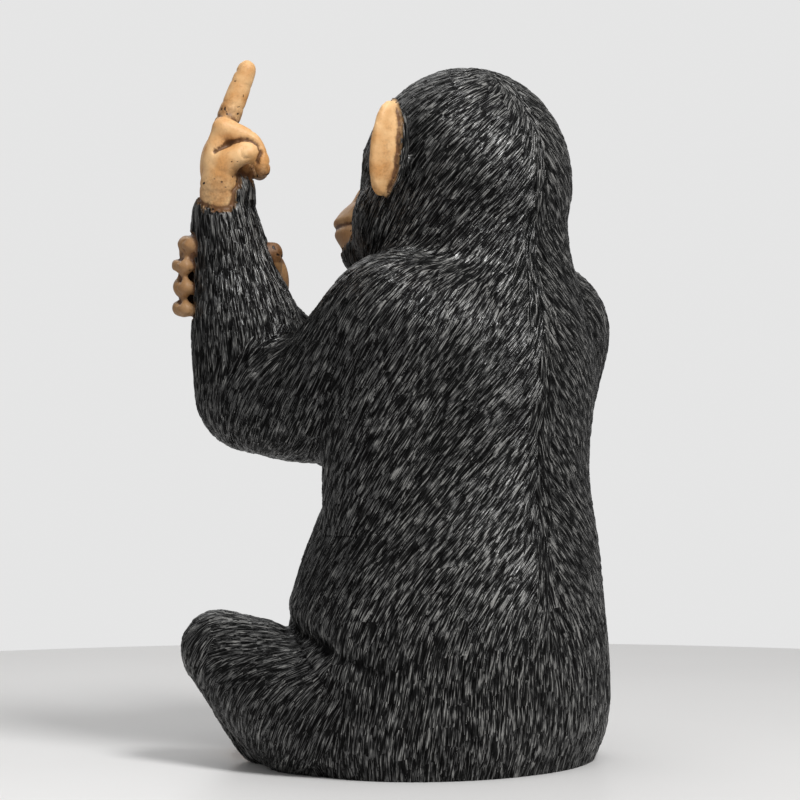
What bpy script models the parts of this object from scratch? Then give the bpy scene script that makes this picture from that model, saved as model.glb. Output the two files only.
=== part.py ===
"""Garden statue of a seated chimpanzee, cast in one piece of resin.

Metres, +Z up. The statue looks along -Y and its left side is +X. The origin is on the flat underside,
below the spine. The left forearm stands upright with one finger raised, and the right hand holds it.
"""

import math

import bmesh
import bpy
import numpy as np
from mathutils import Matrix, Vector

# Torso, as level rings from the seat up. Half widths run side to side, half depths front to back, and each
# ring's middle is set back from the seat's.
SEAT_HALF_WIDTH = 0.078
SEAT_HALF_DEPTH = 0.061
RUMP_HEIGHT = 0.014
HIP_HEIGHT = 0.045
HIP_HALF_WIDTH = 0.088
HIP_HALF_DEPTH = 0.0705
BELLY_HEIGHT = 0.078
BELLY_HALF_WIDTH = 0.0845
BELLY_HALF_DEPTH = 0.0655
MIDRIFF_HEIGHT = 0.107
MIDRIFF_HALF_WIDTH = 0.0775
MIDRIFF_HALF_DEPTH = 0.0608
WAIST_HEIGHT = 0.137
WAIST_HALF_WIDTH = 0.0685
WAIST_HALF_DEPTH = 0.0512
CHEST_HEIGHT = 0.172
CHEST_HALF_WIDTH = 0.068
CHEST_HALF_DEPTH = 0.0530
NAPE_HEIGHT = 0.236
NAPE_HALF_WIDTH = 0.0490
NAPE_HALF_DEPTH = 0.0422
UPPER_BACK_SET = 0.0135
BELLY_SET_SHARE = 0.10
MIDRIFF_SET_SHARE = 0.40
WAIST_SET_SHARE = 0.78
FLANK_HALF_SPAN = 0.051
FLANK_RADIUS = 0.025
NECK_RADIUS = 0.028
BLADE_HALF_SPAN = 0.040
BLADE_SET = 0.0095
BLADE_RADIUS = 0.034
BLADE_LOW_HALF_SPAN = 0.030
BLADE_LOW_HEIGHT = 0.155
BLADE_LOW_RADIUS = 0.026
HEAD_SET = 0.012

# Head. Lengths and heights are from the middle of the skull.
HEAD_HEIGHT = 0.273
HEAD_TURN = math.radians(4)
SKULL_HALF_WIDTH = 0.0492
SKULL_HALF_DEPTH = 0.0477
SKULL_HALF_HEIGHT = 0.0530
BROW_HALF_WIDTH = 0.028
BROW_RADIUS = 0.0068
BROW_RISE = 0.014
BROW_END_SET = 0.016
BROW_END_DROP = 0.003
MUZZLE_LENGTH = 0.0722
MUZZLE_HALF_WIDTH = 0.0245
MUZZLE_HALF_HEIGHT = 0.0165
MUZZLE_DROP = 0.0200
JAW_HALF_WIDTH = 0.032
JAW_HALF_HEIGHT = 0.019
JAW_DROP = 0.0300
CHIN_SET = 0.0055
CHEEK_RADIUS = 0.027
CHEEK_AHEAD = 0.016
EYE_SPACING = 0.026
EYE_RADIUS = 0.0064
EYE_RISE = 0.0005
EYE_SOCKET_DEPTH = 0.0045
NOSE_HALF_WIDTH = 0.0085
NOSE_HALF_DEPTH = 0.012
NOSE_HALF_HEIGHT = 0.009
NOSE_DROP = 0.005
NOSTRIL_SPACING = 0.0080
NOSTRIL_RADIUS = 0.0026
NOSTRIL_DEPTH = 0.0028
MOUTH_DEPTH = 0.0030
MOUTH_LINE_WIDTH = 0.0022
EAR_RISE = 0.0128
EAR_AHEAD = 0.0035
EAR_REACH = 0.0115
EAR_HALF_HEIGHT = 0.0198
EAR_HALF_WIDTH = 0.0108
EAR_THICKNESS = 0.0052
EAR_BACK_DEPTH = 0.0040
EAR_RIM_RADIUS = 0.0030
EAR_RIM_STEPS = 8
EAR_SWEEP = math.radians(-4)
EAR_TILT = math.radians(3)
EAR_RECLINE = math.radians(9.5)

# Arms
SHOULDER_HEIGHT = 0.203
SHOULDER_HALF_SPAN = 0.0545
SHOULDER_RADIUS = 0.0350
UPPER_ARM_RADIUS = 0.0305
UPPER_ARM_SAG = 0.0130
ELBOW_RADIUS = 0.0270
LEFT_ELBOW = Vector((0.0585, -0.0685, 0.1748))
LEFT_FOREARM_LENGTH = 0.092
LEFT_FOREARM_LEAN = math.radians(8.5)
FOREARM_RADIUS = 0.0222
CUFF_RADIUS = 0.0142
CUFF_BOW = 0.0028
WRIST_RADIUS = 0.0118
RIGHT_ELBOW = Vector((-0.025, -0.083, 0.1625))
RIGHT_ELBOW_RADIUS = 0.0245
RIGHT_FOREARM_RADIUS = 0.0190

# Hands. The left hand's palm faces the head. The grip height runs from the left elbow to the right hand.
HAND_TURN = math.radians(37)
PALM_LENGTH = 0.034
PALM_HALF_WIDTH = 0.0128
PALM_HALF_THICKNESS = 0.0120
PALM_ASIDE = 0.0030
FINGER_RADIUS = 0.0050
FINGER_PITCH = 0.0076
RAISED_FINGER_LENGTH = 0.0282
RAISED_FINGER_LEAN = 0.38
CURLED_FINGER_RADIUS = 0.0042
CURLED_FINGER_REACH = 0.0175
CURLED_FINGER_DROP = 0.0197
THUMB_RADIUS = 0.0053
THUMB_SPREAD = 0.0152
THUMB_REACH = 0.0104
THUMB_RISE = 0.0204
GRIP_HEIGHT = 0.056
GRIP_FINGER_PITCH = 0.0098
PALM_TO_WRIST = 0.031
GRIP_PALM_RADII = (0.0105, 0.0160, 0.0195)
GRIP_FINGER_RADIUS = 0.0046
GRIP_FINGER_LIFT = 0.0082

# Legs and feet
HIP_HALF_SPAN = 0.047
HIP_JOINT_HEIGHT = 0.030
THIGH_RADIUS = 0.0365
THIGH_SAG = 0.010
KNEE_HALF_SPAN = 0.0750
KNEE_REACH = 0.0730
KNEE_HEIGHT = 0.0520
KNEE_RADIUS = 0.0195
CALF_HEIGHT = 0.020
CALF_RADIUS = 0.0265
SHIN_RADIUS = 0.0180
ANKLE_HALF_SPAN = 0.054
ANKLE_REACH = 0.0650
ANKLE_HEIGHT = 0.0135
ANKLE_RADIUS = 0.0180
FOOT_LENGTH = 0.046
FOOT_HALF_WIDTH = 0.0135
FOOT_HALF_HEIGHT = 0.0105
TOE_RADIUS = 0.0046
TOE_LENGTH = 0.014
FOOT_TURN = math.radians(48)

# Fur, as locks that overlap like shingles
LOCK_SPACING = 0.0098
LOCK_HALF_WIDTH = 0.0041
LOCK_HALF_LENGTH = 0.0160
LOCK_HEIGHT = 0.0024
LOCK_HOLLOW = 0.5
FACE_RADII = (0.038, 0.034, 0.032)
FACE_AHEAD = 0.006
FACE_DROP = 0.008
LOCK_SEED = 7

# How finely the clay is worked: the grain of each stage and the smoothing steps after it
BODY_GRAIN = 0.0020
BODY_SMOOTHING_STEPS = 22
DETAIL_GRAIN = 0.0014
DETAIL_SMOOTHING_STEPS = 2
FACET_BUDGET = 11800
BELOW_GROUND = 0.012

UP = Vector((0, 0, 1))
FORWARD = Vector((0, -1, 0))
PAINT = (0.035, 0.034, 0.034, 1.0)
PAINT_ROUGHNESS = 0.5


def clear_scene():
    """Removes whatever the file holds."""
    for item in list(bpy.data.objects):
        bpy.data.objects.remove(item, do_unlink=True)


def taken_mesh(item):
    """The mesh of an object as its modifiers leave it. The object itself is removed."""
    bpy.context.scene.collection.objects.link(item)
    bpy.context.view_layer.update()
    graph = bpy.context.evaluated_depsgraph_get()
    mesh = bpy.data.meshes.new_from_object(item.evaluated_get(graph))
    bpy.data.objects.remove(item, do_unlink=True)
    return mesh


def egg(centre, radii, turn=None):
    """An ellipsoid with its three half axes along X, Y and Z before it is turned."""
    lump = bmesh.new()
    place = Matrix.Translation(centre) @ (turn or Matrix.Identity(3)).to_4x4() @ Matrix.Diagonal((*radii, 1))
    bmesh.ops.create_icosphere(lump, subdivisions=4, radius=1, matrix=place)
    mesh = bpy.data.meshes.new("egg")
    lump.to_mesh(mesh)
    lump.free()
    return [mesh]


def limb(stations):
    """A round limb through stations of (centre, radius), with a ball at each end."""
    curve = bpy.data.curves.new("limb", "CURVE")
    curve.dimensions = "3D"
    curve.bevel_depth = 1.0
    curve.bevel_resolution = 5
    curve.resolution_u = 6
    curve.use_fill_caps = True
    spline = curve.splines.new("BEZIER")
    spline.bezier_points.add(len(stations) - 1)
    for point, (centre, radius) in zip(spline.bezier_points, stations):
        point.co = centre
        point.radius = radius
        point.handle_left_type = "AUTO"
        point.handle_right_type = "AUTO"
    tube = taken_mesh(bpy.data.objects.new("limb", curve))
    ends = [egg(centre, (radius,) * 3)[0] for centre, radius in (stations[0], stations[-1])]
    return [tube, *ends]


def stack(sections):
    """A closed trunk of level ellipses, each given as (height, half width, half depth, set back)."""
    trunk = bmesh.new()
    loops = []
    for height, half_width, half_depth, set_back in sections:
        place = Matrix.Translation((0, set_back, height)) @ Matrix.Diagonal((half_width, half_depth, 1, 1))
        ring = bmesh.ops.create_circle(trunk, segments=24, radius=1, matrix=place)["verts"]
        loops.append(ring)
    for lower, upper in zip(loops, loops[1:]):
        edges = {edge for vert in lower + upper for edge in vert.link_edges if len(edge.link_faces) < 2}
        rims = [edge for edge in edges if edge.verts[0].co.z == edge.verts[1].co.z]
        bmesh.ops.bridge_loops(trunk, edges=rims)
    for ring in (loops[0], loops[-1]):
        bmesh.ops.contextual_create(trunk, geom=ring)
    bmesh.ops.recalc_face_normals(trunk, faces=trunk.faces)
    mesh = bpy.data.meshes.new("trunk")
    trunk.to_mesh(mesh)
    trunk.free()
    item = bpy.data.objects.new("trunk", mesh)
    smooth = item.modifiers.new("Smooth form", "SUBSURF")
    smooth.levels = 2
    smooth.render_levels = 2
    return [taken_mesh(item)]


def fused(forms, grain, rounds):
    """One closed skin round all the forms, worked smooth as clay is."""
    clay = bmesh.new()
    for mesh in forms:
        clay.from_mesh(mesh)
        bpy.data.meshes.remove(mesh)
    mesh = bpy.data.meshes.new("clay")
    clay.to_mesh(mesh)
    clay.free()
    item = bpy.data.objects.new("clay", mesh)
    skin = item.modifiers.new("One skin", "REMESH")
    skin.mode = "VOXEL"
    skin.voxel_size = grain
    skin.adaptivity = 0
    smooth = item.modifiers.new("Smooth skin", "SMOOTH")
    smooth.factor = 0.5
    smooth.iterations = rounds
    return taken_mesh(item)


def turned(angle):
    """A turn about the upright axis. A positive angle carries -Y towards +X."""
    return Matrix.Rotation(angle, 3, "Z")


def on_head(across, ahead, above):
    """A point given from the skull's centre: to the left, towards the face, and up."""
    centre = Vector((0, HEAD_SET, HEAD_HEIGHT))
    return centre + turned(HEAD_TURN) @ Vector((across, -ahead, above))


def torso():
    """Seat, belly, waist, chest and neck as one trunk, from below ground to inside the head."""
    sections = [
        (-BELOW_GROUND, SEAT_HALF_WIDTH, SEAT_HALF_DEPTH, 0),
        (0, SEAT_HALF_WIDTH, SEAT_HALF_DEPTH, 0),
        (RUMP_HEIGHT, HIP_HALF_WIDTH, HIP_HALF_DEPTH, 0),
        (HIP_HEIGHT, HIP_HALF_WIDTH, HIP_HALF_DEPTH, 0),
        (BELLY_HEIGHT, BELLY_HALF_WIDTH, BELLY_HALF_DEPTH, UPPER_BACK_SET * BELLY_SET_SHARE),
        (MIDRIFF_HEIGHT, MIDRIFF_HALF_WIDTH, MIDRIFF_HALF_DEPTH, UPPER_BACK_SET * MIDRIFF_SET_SHARE),
        (WAIST_HEIGHT, WAIST_HALF_WIDTH, WAIST_HALF_DEPTH, UPPER_BACK_SET * WAIST_SET_SHARE),
        (CHEST_HEIGHT, CHEST_HALF_WIDTH, CHEST_HALF_DEPTH, UPPER_BACK_SET),
        (SHOULDER_HEIGHT, CHEST_HALF_WIDTH, CHEST_HALF_DEPTH, UPPER_BACK_SET),
        (NAPE_HEIGHT, NAPE_HALF_WIDTH, NAPE_HALF_DEPTH, UPPER_BACK_SET),
        (HEAD_HEIGHT, NAPE_HALF_WIDTH, NAPE_HALF_DEPTH, HEAD_SET),
    ]
    return stack(sections)


def head():
    """Skull, cheeks, jaw, muzzle, nose and brow."""
    turn = turned(HEAD_TURN)
    muzzle_half_depth = MUZZLE_LENGTH - SKULL_HALF_DEPTH + 0.004
    forms = egg(on_head(0, 0, 0), (SKULL_HALF_WIDTH, SKULL_HALF_DEPTH, SKULL_HALF_HEIGHT), turn)
    forms += egg(
        on_head(0, MUZZLE_LENGTH - muzzle_half_depth, -MUZZLE_DROP),
        (MUZZLE_HALF_WIDTH, muzzle_half_depth, MUZZLE_HALF_HEIGHT),
        turn,
    )
    jaw_half_depth = MUZZLE_LENGTH / 2
    forms += egg(
        on_head(0, MUZZLE_LENGTH - jaw_half_depth - CHIN_SET, -JAW_DROP),
        (JAW_HALF_WIDTH, jaw_half_depth, JAW_HALF_HEIGHT),
        turn,
    )
    nose = on_head(0, SKULL_HALF_DEPTH + NOSE_HALF_DEPTH / 4, -NOSE_DROP)
    forms += egg(nose, (NOSE_HALF_WIDTH, NOSE_HALF_DEPTH, NOSE_HALF_HEIGHT), turn)
    brow_end = (SKULL_HALF_DEPTH - BROW_END_SET, BROW_RISE - BROW_END_DROP)
    forms += limb(
        [
            (on_head(-BROW_HALF_WIDTH, *brow_end), BROW_RADIUS * 0.8),
            (on_head(0, SKULL_HALF_DEPTH - 0.001, BROW_RISE), BROW_RADIUS),
            (on_head(BROW_HALF_WIDTH, *brow_end), BROW_RADIUS * 0.8),
        ]
    )
    for side in (-1, 1):
        cheek = on_head(side * (SKULL_HALF_WIDTH - CHEEK_RADIUS), CHEEK_AHEAD, -MUZZLE_DROP)
        forms += egg(cheek, (CHEEK_RADIUS,) * 3)
    return forms


def ear(side):
    """A thin shell with a rolled rim on its front, rounded at the back, out from the side of the skull."""
    tilt = Matrix.Rotation(side * EAR_TILT, 3, "Y") @ Matrix.Rotation(-EAR_RECLINE, 3, "X")
    turn = turned(HEAD_TURN + side * EAR_SWEEP) @ tilt
    root = on_head(side * SKULL_HALF_WIDTH, EAR_AHEAD, EAR_RISE)
    middle = root + turn @ Vector((side * EAR_REACH, 0, 0))
    forms = egg(middle, (EAR_HALF_WIDTH, EAR_THICKNESS / 2, EAR_HALF_HEIGHT), turn)
    behind = middle + turn @ Vector((-side * EAR_HALF_WIDTH * 0.35, EAR_BACK_DEPTH * 0.3, 0))
    forms += egg(behind, (EAR_HALF_WIDTH * 0.8, EAR_BACK_DEPTH, EAR_HALF_HEIGHT * 0.85), turn)
    rim = []
    for step in range(EAR_RIM_STEPS + 1):
        angle = math.radians(-100 + 200 * step / EAR_RIM_STEPS)
        across = side * EAR_HALF_WIDTH * math.cos(angle)
        out = Vector((across, -EAR_RIM_RADIUS * 0.6, EAR_HALF_HEIGHT * math.sin(angle)))
        rim.append((middle + turn @ out, EAR_RIM_RADIUS))
    return forms + limb(rim)


def shoulder(side):
    """The middle of a shoulder."""
    return Vector((side * SHOULDER_HALF_SPAN, UPPER_BACK_SET, SHOULDER_HEIGHT))


def back_muscles(side):
    """The masses that run from a shoulder down the flank and into the nape, and the shoulder blade."""
    flank = Vector((side * FLANK_HALF_SPAN, 0, MIDRIFF_HEIGHT))
    nape = Vector((0, UPPER_BACK_SET, NAPE_HEIGHT))
    high = Vector((side * BLADE_HALF_SPAN, UPPER_BACK_SET + BLADE_SET, SHOULDER_HEIGHT))
    low = Vector((side * BLADE_LOW_HALF_SPAN, UPPER_BACK_SET + BLADE_SET * 1.5, BLADE_LOW_HEIGHT))
    forms = limb([(shoulder(side), SHOULDER_RADIUS), (flank, FLANK_RADIUS)])
    forms += limb([(shoulder(side), NECK_RADIUS), (nape, NAPE_HALF_DEPTH * 0.7)])
    return forms + limb([(high, BLADE_RADIUS), (low, BLADE_LOW_RADIUS)])


def hand_frame():
    """Directions of the left hand: towards the thumb, towards what the palm faces, and up."""
    thumbward = turned(HAND_TURN) @ Vector((1, 0, 0))
    palmward = turned(HAND_TURN) @ Vector((0, 1, 0))
    return thumbward, palmward, UP


def forearm_axis():
    """The left forearm's direction, from the elbow to the wrist. It leans away from the face."""
    thumbward, palmward, up = hand_frame()
    return up * math.cos(LEFT_FOREARM_LEAN) - palmward * math.sin(LEFT_FOREARM_LEAN)


def left_wrist():
    """The middle of the left wrist."""
    return LEFT_ELBOW + forearm_axis() * LEFT_FOREARM_LENGTH


def left_arm():
    """Upper arm and upright forearm."""
    start, elbow, axis = shoulder(1), LEFT_ELBOW, forearm_axis()
    middle = (start + elbow) / 2 - UP * UPPER_ARM_SAG
    forms = limb([(start, SHOULDER_RADIUS), (middle, UPPER_ARM_RADIUS), (elbow, ELBOW_RADIUS)])
    bow = hand_frame()[1] * CUFF_BOW
    return forms + limb(
        [
            (elbow, ELBOW_RADIUS),
            (elbow + axis * LEFT_FOREARM_LENGTH * 0.35, (ELBOW_RADIUS + FOREARM_RADIUS) / 2),
            (elbow + axis * LEFT_FOREARM_LENGTH * 0.62 - bow / 2, (FOREARM_RADIUS + CUFF_RADIUS) / 2),
            (elbow + axis * LEFT_FOREARM_LENGTH * 0.90 - bow, CUFF_RADIUS),
        ]
    )


def finger(root, bend, fold, tip, radius):
    """A finger through its root, two joints and tip, a little thinner towards the tip."""
    return limb([(root, radius * 1.05), (bend, radius * 1.02), (fold, radius * 0.95), (tip, radius * 0.88)])


def left_hand():
    """Palm, raised middle finger, curled fingers and the thumb that lies across them."""
    thumbward, palmward, up = hand_frame()
    wrist = left_wrist()

    def at(across, in_front, above):
        return wrist + thumbward * across + palmward * in_front + up * above

    forms = limb([(at(0, 0, -WRIST_RADIUS * 2), WRIST_RADIUS), (at(0, 0, WRIST_RADIUS / 3), WRIST_RADIUS)])
    turn = Matrix((thumbward, palmward, up)).transposed()
    palm_radii = (PALM_HALF_WIDTH, PALM_HALF_THICKNESS, PALM_LENGTH * 0.54)
    forms += egg(at(-PALM_ASIDE, 0, PALM_LENGTH * 0.45), palm_radii, turn)
    back_set = PALM_HALF_THICKNESS * 0.6
    for place in range(4):
        across = (1.5 - place) * FINGER_PITCH
        knuckle = at(across, -0.0012, PALM_LENGTH - 0.0018)
        back = at(across * 0.9, -back_set, PALM_LENGTH * 0.5)
        heel = at(across * 0.6, -back_set / 3, 0)
        forms += limb([(heel, FINGER_RADIUS), (back, FINGER_RADIUS), (knuckle, FINGER_RADIUS * 0.9)])
        if place == 1:
            lean = (up + palmward * RAISED_FINGER_LEAN).normalized() * RAISED_FINGER_LENGTH
            root = at(across, 0, PALM_LENGTH)
            forms += finger(root, root + lean * 0.4, root + lean * 0.75, root + lean, FINGER_RADIUS)
            continue
        reach = palmward * CURLED_FINGER_REACH * (1 - place * 0.05)
        drop = up * CURLED_FINGER_DROP
        bend = knuckle + reach * 0.64 - drop * 0.30
        fold = knuckle + reach * 0.91 - drop * 0.70
        forms += finger(knuckle, bend, fold, knuckle + reach - drop, CURLED_FINGER_RADIUS)

    def on_thumb(across, in_front, above, thickness):
        place = at(across * THUMB_SPREAD, in_front * THUMB_REACH, above * THUMB_RISE)
        return place, thickness * THUMB_RADIUS

    thumb = [
        on_thumb(0.20, -0.19, -0.20, 1.98),
        on_thumb(0.53, -0.29, 0.34, 1.74),
        on_thumb(0.80, -0.05, 0.74, 1.28),
        on_thumb(0.97, 0.56, 0.92, 1.0),
        on_thumb(1.0, 1.0, 1.0, 0.87),
    ]
    return forms + limb(thumb)


def grip_centre():
    """The middle of the left forearm where the right hand holds it."""
    return LEFT_ELBOW + forearm_axis() * GRIP_HEIGHT


def right_wrist():
    """The middle of the right wrist, below and behind the hand's hold."""
    thumbward, palmward, up = hand_frame()
    return grip_centre() + (palmward * 0.5 - thumbward - up * 0.75) * PALM_TO_WRIST


def right_arm():
    """Upper arm across the chest and forearm up to the other arm."""
    start, elbow, wrist = shoulder(-1), RIGHT_ELBOW, right_wrist()
    middle = (start + elbow) / 2
    forms = limb([(start, SHOULDER_RADIUS), (middle, UPPER_ARM_RADIUS * 0.95), (elbow, RIGHT_ELBOW_RADIUS)])
    return forms + limb(
        [
            (elbow, RIGHT_ELBOW_RADIUS),
            ((elbow + wrist) / 2, RIGHT_FOREARM_RADIUS),
            (wrist, CUFF_RADIUS * 0.92),
        ]
    )


def right_hand():
    """Palm behind the left forearm, four fingers round its outer side and the thumb up its inner side."""
    thumbward, palmward, up = hand_frame()
    centre = grip_centre()
    hold = (FOREARM_RADIUS + CUFF_RADIUS) / 2

    def at(inward, behind, above):
        return centre + palmward * inward - thumbward * behind + up * above

    turn = Matrix((thumbward, palmward, up)).transposed()
    forms = egg(at(0.007, hold + 0.002, -0.003), GRIP_PALM_RADII, turn)
    forms += limb([(right_wrist(), WRIST_RADIUS), (at(0.010, hold + 0.004, -0.010), WRIST_RADIUS * 0.95)])
    for place in range(4):
        above = (1.5 - place) * GRIP_FINGER_PITCH
        knuckle = at(-0.004, hold + 0.006, above)
        heel = at(0.018, hold + 0.0065, above * 0.55 - 0.007)
        forms += limb([(heel, FINGER_RADIUS), (knuckle, FINGER_RADIUS)])
        forms += finger(
            knuckle,
            at(-hold * 0.72, hold * 0.78 + 0.003, above),
            at(-hold - GRIP_FINGER_LIFT, hold * 0.25, above),
            at(-hold - GRIP_FINGER_LIFT + 0.002, -hold * 0.25, above - 0.001),
            GRIP_FINGER_RADIUS,
        )
    thumb = [
        (at(hold - 0.008, 0.020, -0.018), THUMB_RADIUS * 1.25),
        (at(hold - 0.003, 0.012, -0.007), THUMB_RADIUS),
        (at(hold - 0.0033, 0.006, 0.001), THUMB_RADIUS),
        (at(hold - 0.0015, 0.003, 0.0095), THUMB_RADIUS * 1.05),
    ]
    return forms + limb(thumb)


def leg(side):
    """Thigh along the ground, raised knee and folded shin."""
    hip = Vector((side * HIP_HALF_SPAN, HEAD_SET, HIP_JOINT_HEIGHT))
    knee = Vector((side * KNEE_HALF_SPAN, -KNEE_REACH, KNEE_HEIGHT))
    ankle = Vector((side * ANKLE_HALF_SPAN, -ANKLE_REACH, ANKLE_HEIGHT))
    middle = (hip + knee) / 2
    forms = limb([(hip, THIGH_RADIUS), (middle - UP * THIGH_SAG, THIGH_RADIUS * 0.95), (knee, KNEE_RADIUS)])
    forms += limb([(knee, KNEE_RADIUS), ((knee + ankle) / 2, SHIN_RADIUS), (ankle, ANKLE_RADIUS)])
    calf = Vector((middle.x, middle.y, CALF_HEIGHT))
    return forms + limb([(calf, CALF_RADIUS), (ankle, ANKLE_RADIUS)])


def foot(side):
    """Sole, heel, four toes and the big toe, pointing forward and inward."""
    along = turned(-side * FOOT_TURN) @ FORWARD
    across = UP.cross(along).normalized() * side
    heel = Vector((side * ANKLE_HALF_SPAN, -ANKLE_REACH, FOOT_HALF_HEIGHT))
    turn = Matrix((across, along, UP)).transposed()
    middle = heel + along * FOOT_LENGTH * 0.42
    forms = egg(middle, (FOOT_HALF_WIDTH, FOOT_LENGTH * 0.52, FOOT_HALF_HEIGHT), turn)
    for place in range(4):
        spread = (place - 1.2) * TOE_RADIUS * 1.75
        root = heel + along * FOOT_LENGTH * 0.80 + across * spread
        forms += limb(
            [
                (root, TOE_RADIUS),
                (root + along * TOE_LENGTH * 0.6 + UP * 0.0015, TOE_RADIUS),
                (root + along * TOE_LENGTH - UP * 0.003, TOE_RADIUS * 0.9),
            ]
        )
    big_root = heel + along * FOOT_LENGTH * 0.45 - across * FOOT_HALF_WIDTH * 0.8
    return forms + limb(
        [
            (big_root, TOE_RADIUS * 1.15),
            (big_root + along * TOE_LENGTH * 0.8 - across * 0.005, TOE_RADIUS * 1.15),
            (big_root + along * TOE_LENGTH * 1.5 - across * 0.005, TOE_RADIUS),
        ]
    )


def vertex_array(mesh, field):
    """One of the mesh's vertex fields of three numbers, as rows."""
    values = np.empty(len(mesh.vertices) * 3)
    mesh.vertices.foreach_get(field, values)
    return values.reshape(-1, 3)


def fur_flow(points, normals):
    """Which way the fur lies along the skin at each point: down, and away from the spine at the back."""
    sideways = np.sign(points[:, 0]) * np.clip(np.abs(points[:, 0]) / FLANK_HALF_SPAN, 0, 1)
    behind = np.clip(points[:, 1] / HIP_HALF_DEPTH, 0, 1)
    flow = np.stack([sideways * (0.3 + behind), -0.8 * (1 - behind), np.full(len(points), -1.0)], axis=1)
    flow -= (flow * normals).sum(axis=1)[:, None] * normals
    return flow / np.maximum(np.linalg.norm(flow, axis=1), 1e-6)[:, None]


def bare_face(points):
    """How far each point is within the bare face, from 0 outside it to 1 well inside."""
    centre = np.array(on_head(0, SKULL_HALF_DEPTH + FACE_AHEAD, -FACE_DROP))
    away = (points - centre) / np.array(FACE_RADII)
    return np.clip(3 * (1.1 - np.linalg.norm(away, axis=1)), 0, 1)


def furred(mesh):
    """Raises locks of fur on the skin. Each is a long low ridge that lies along the flow."""
    points = vertex_array(mesh, "co")
    normals = vertex_array(mesh, "normal")
    dice = np.random.default_rng(LOCK_SEED).permutation(len(points))
    first = np.unique(np.floor(points[dice] / LOCK_SPACING), axis=0, return_index=True)[1]
    roots = dice[first]
    flows = fur_flow(points[roots], normals[roots])
    sides = np.cross(normals[roots], flows)
    upward = np.argsort(points[:, 2])
    stacked = points[upward]
    height = np.full(len(points), LOCK_HOLLOW)
    for root, flow, side, out in zip(points[roots], flows, sides, normals[roots]):
        low, high = np.searchsorted(stacked[:, 2], (root[2] - LOCK_HALF_LENGTH, root[2] + LOCK_HALF_LENGTH))
        away = stacked[low:high] - root
        along, across, above = away @ flow, away @ side, away @ out
        spread = (along / LOCK_HALF_LENGTH) ** 2 + (across**2 + above**2) / LOCK_HALF_WIDTH**2
        height[low:high] = np.maximum(height[low:high], 1 - spread)
    lift = np.empty(len(points))
    lift[upward] = height
    points += (lift * (1 - bare_face(points)) * LOCK_HEIGHT)[:, None] * normals
    mesh.vertices.foreach_set("co", points.ravel())


def press(mesh, centre, reach, push):
    """Pushes the skin near a point by a vector. The push fades out at the reach, given for each axis."""
    points = vertex_array(mesh, "co")
    away = (points - np.array(centre)) / np.array(reach)
    share = np.clip(1 - (away**2).sum(axis=1), 0, 1) ** 2
    points += share[:, None] * np.array(push)
    mesh.vertices.foreach_set("co", points.ravel())


def eye_centre(side):
    """The middle of an eyeball."""
    return on_head(side * EYE_SPACING / 2, SKULL_HALF_DEPTH - EYE_RADIUS + EYE_SOCKET_DEPTH * 0.25, EYE_RISE)


def carve_sockets(mesh):
    """Presses the two eye sockets into the skin below the brow."""
    back = turned(HEAD_TURN) @ Vector((0, EYE_SOCKET_DEPTH, 0))
    for side in (-1, 1):
        press(mesh, eye_centre(side), (EYE_RADIUS * 2, EYE_RADIUS * 3, EYE_RADIUS * 1.6), back)


def carve_muzzle(mesh):
    """Presses the nostrils and the line of the mouth into the skin."""
    for side in (-1, 1):
        nostril = on_head(side * NOSTRIL_SPACING / 2, MUZZLE_LENGTH - 0.012, -MUZZLE_DROP * 0.35)
        back = turned(HEAD_TURN) @ Vector((0, NOSTRIL_DEPTH, 0))
        press(mesh, nostril, (NOSTRIL_RADIUS, NOSTRIL_DEPTH * 3, NOSTRIL_RADIUS), back)
    for step in range(-6, 7):
        angle = math.radians(step * 11)
        across = MUZZLE_HALF_WIDTH * math.sin(angle)
        ahead = MUZZLE_LENGTH - MUZZLE_HALF_WIDTH * (1 - math.cos(angle))
        lip = on_head(across, ahead, -MUZZLE_DROP - 0.005 + 0.004 * math.sin(angle) ** 2)
        inward = turned(HEAD_TURN + angle) @ Vector((0, MOUTH_DEPTH * 0.55, 0))
        press(mesh, lip, (MOUTH_LINE_WIDTH * 3, MOUTH_DEPTH * 3, MOUTH_LINE_WIDTH), inward)


def thinned(mesh, budget):
    """The mesh with its triangles brought down to the budget, most of them kept where it curves."""
    mesh.calc_loop_triangles()
    item = bpy.data.objects.new("thinned", mesh)
    fewer = item.modifiers.new("Fewer facets", "DECIMATE")
    fewer.ratio = min(1, budget / len(mesh.loop_triangles))
    return taken_mesh(item)


def seated(mesh):
    """The mesh cut off flat at the ground, with the cut closed."""
    cut = bmesh.new()
    cut.from_mesh(mesh)
    everything = cut.verts[:] + cut.edges[:] + cut.faces[:]
    bmesh.ops.bisect_plane(cut, geom=everything, plane_co=(0, 0, 0), plane_no=UP, clear_inner=True)
    rim = [edge for edge in cut.edges if len(edge.link_faces) == 1]
    bmesh.ops.contextual_create(cut, geom=rim)
    bmesh.ops.triangulate(cut, faces=cut.faces)
    bmesh.ops.recalc_face_normals(cut, faces=cut.faces)
    cut.to_mesh(mesh)
    cut.free()
    return mesh


def statue():
    """The whole statue as one closed solid."""
    forms = torso() + head() + left_arm() + right_arm()
    for side in (-1, 1):
        forms += back_muscles(side) + leg(side)
    body = fused(forms, BODY_GRAIN, BODY_SMOOTHING_STEPS)
    furred(body)
    carve_sockets(body)
    details = left_hand() + right_hand()
    for side in (-1, 1):
        details += ear(side) + egg(eye_centre(side), (EYE_RADIUS,) * 3) + foot(side)
    skin = fused([body, *details], DETAIL_GRAIN, DETAIL_SMOOTHING_STEPS)
    carve_muzzle(skin)
    return seated(thinned(skin, FACET_BUDGET))


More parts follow.
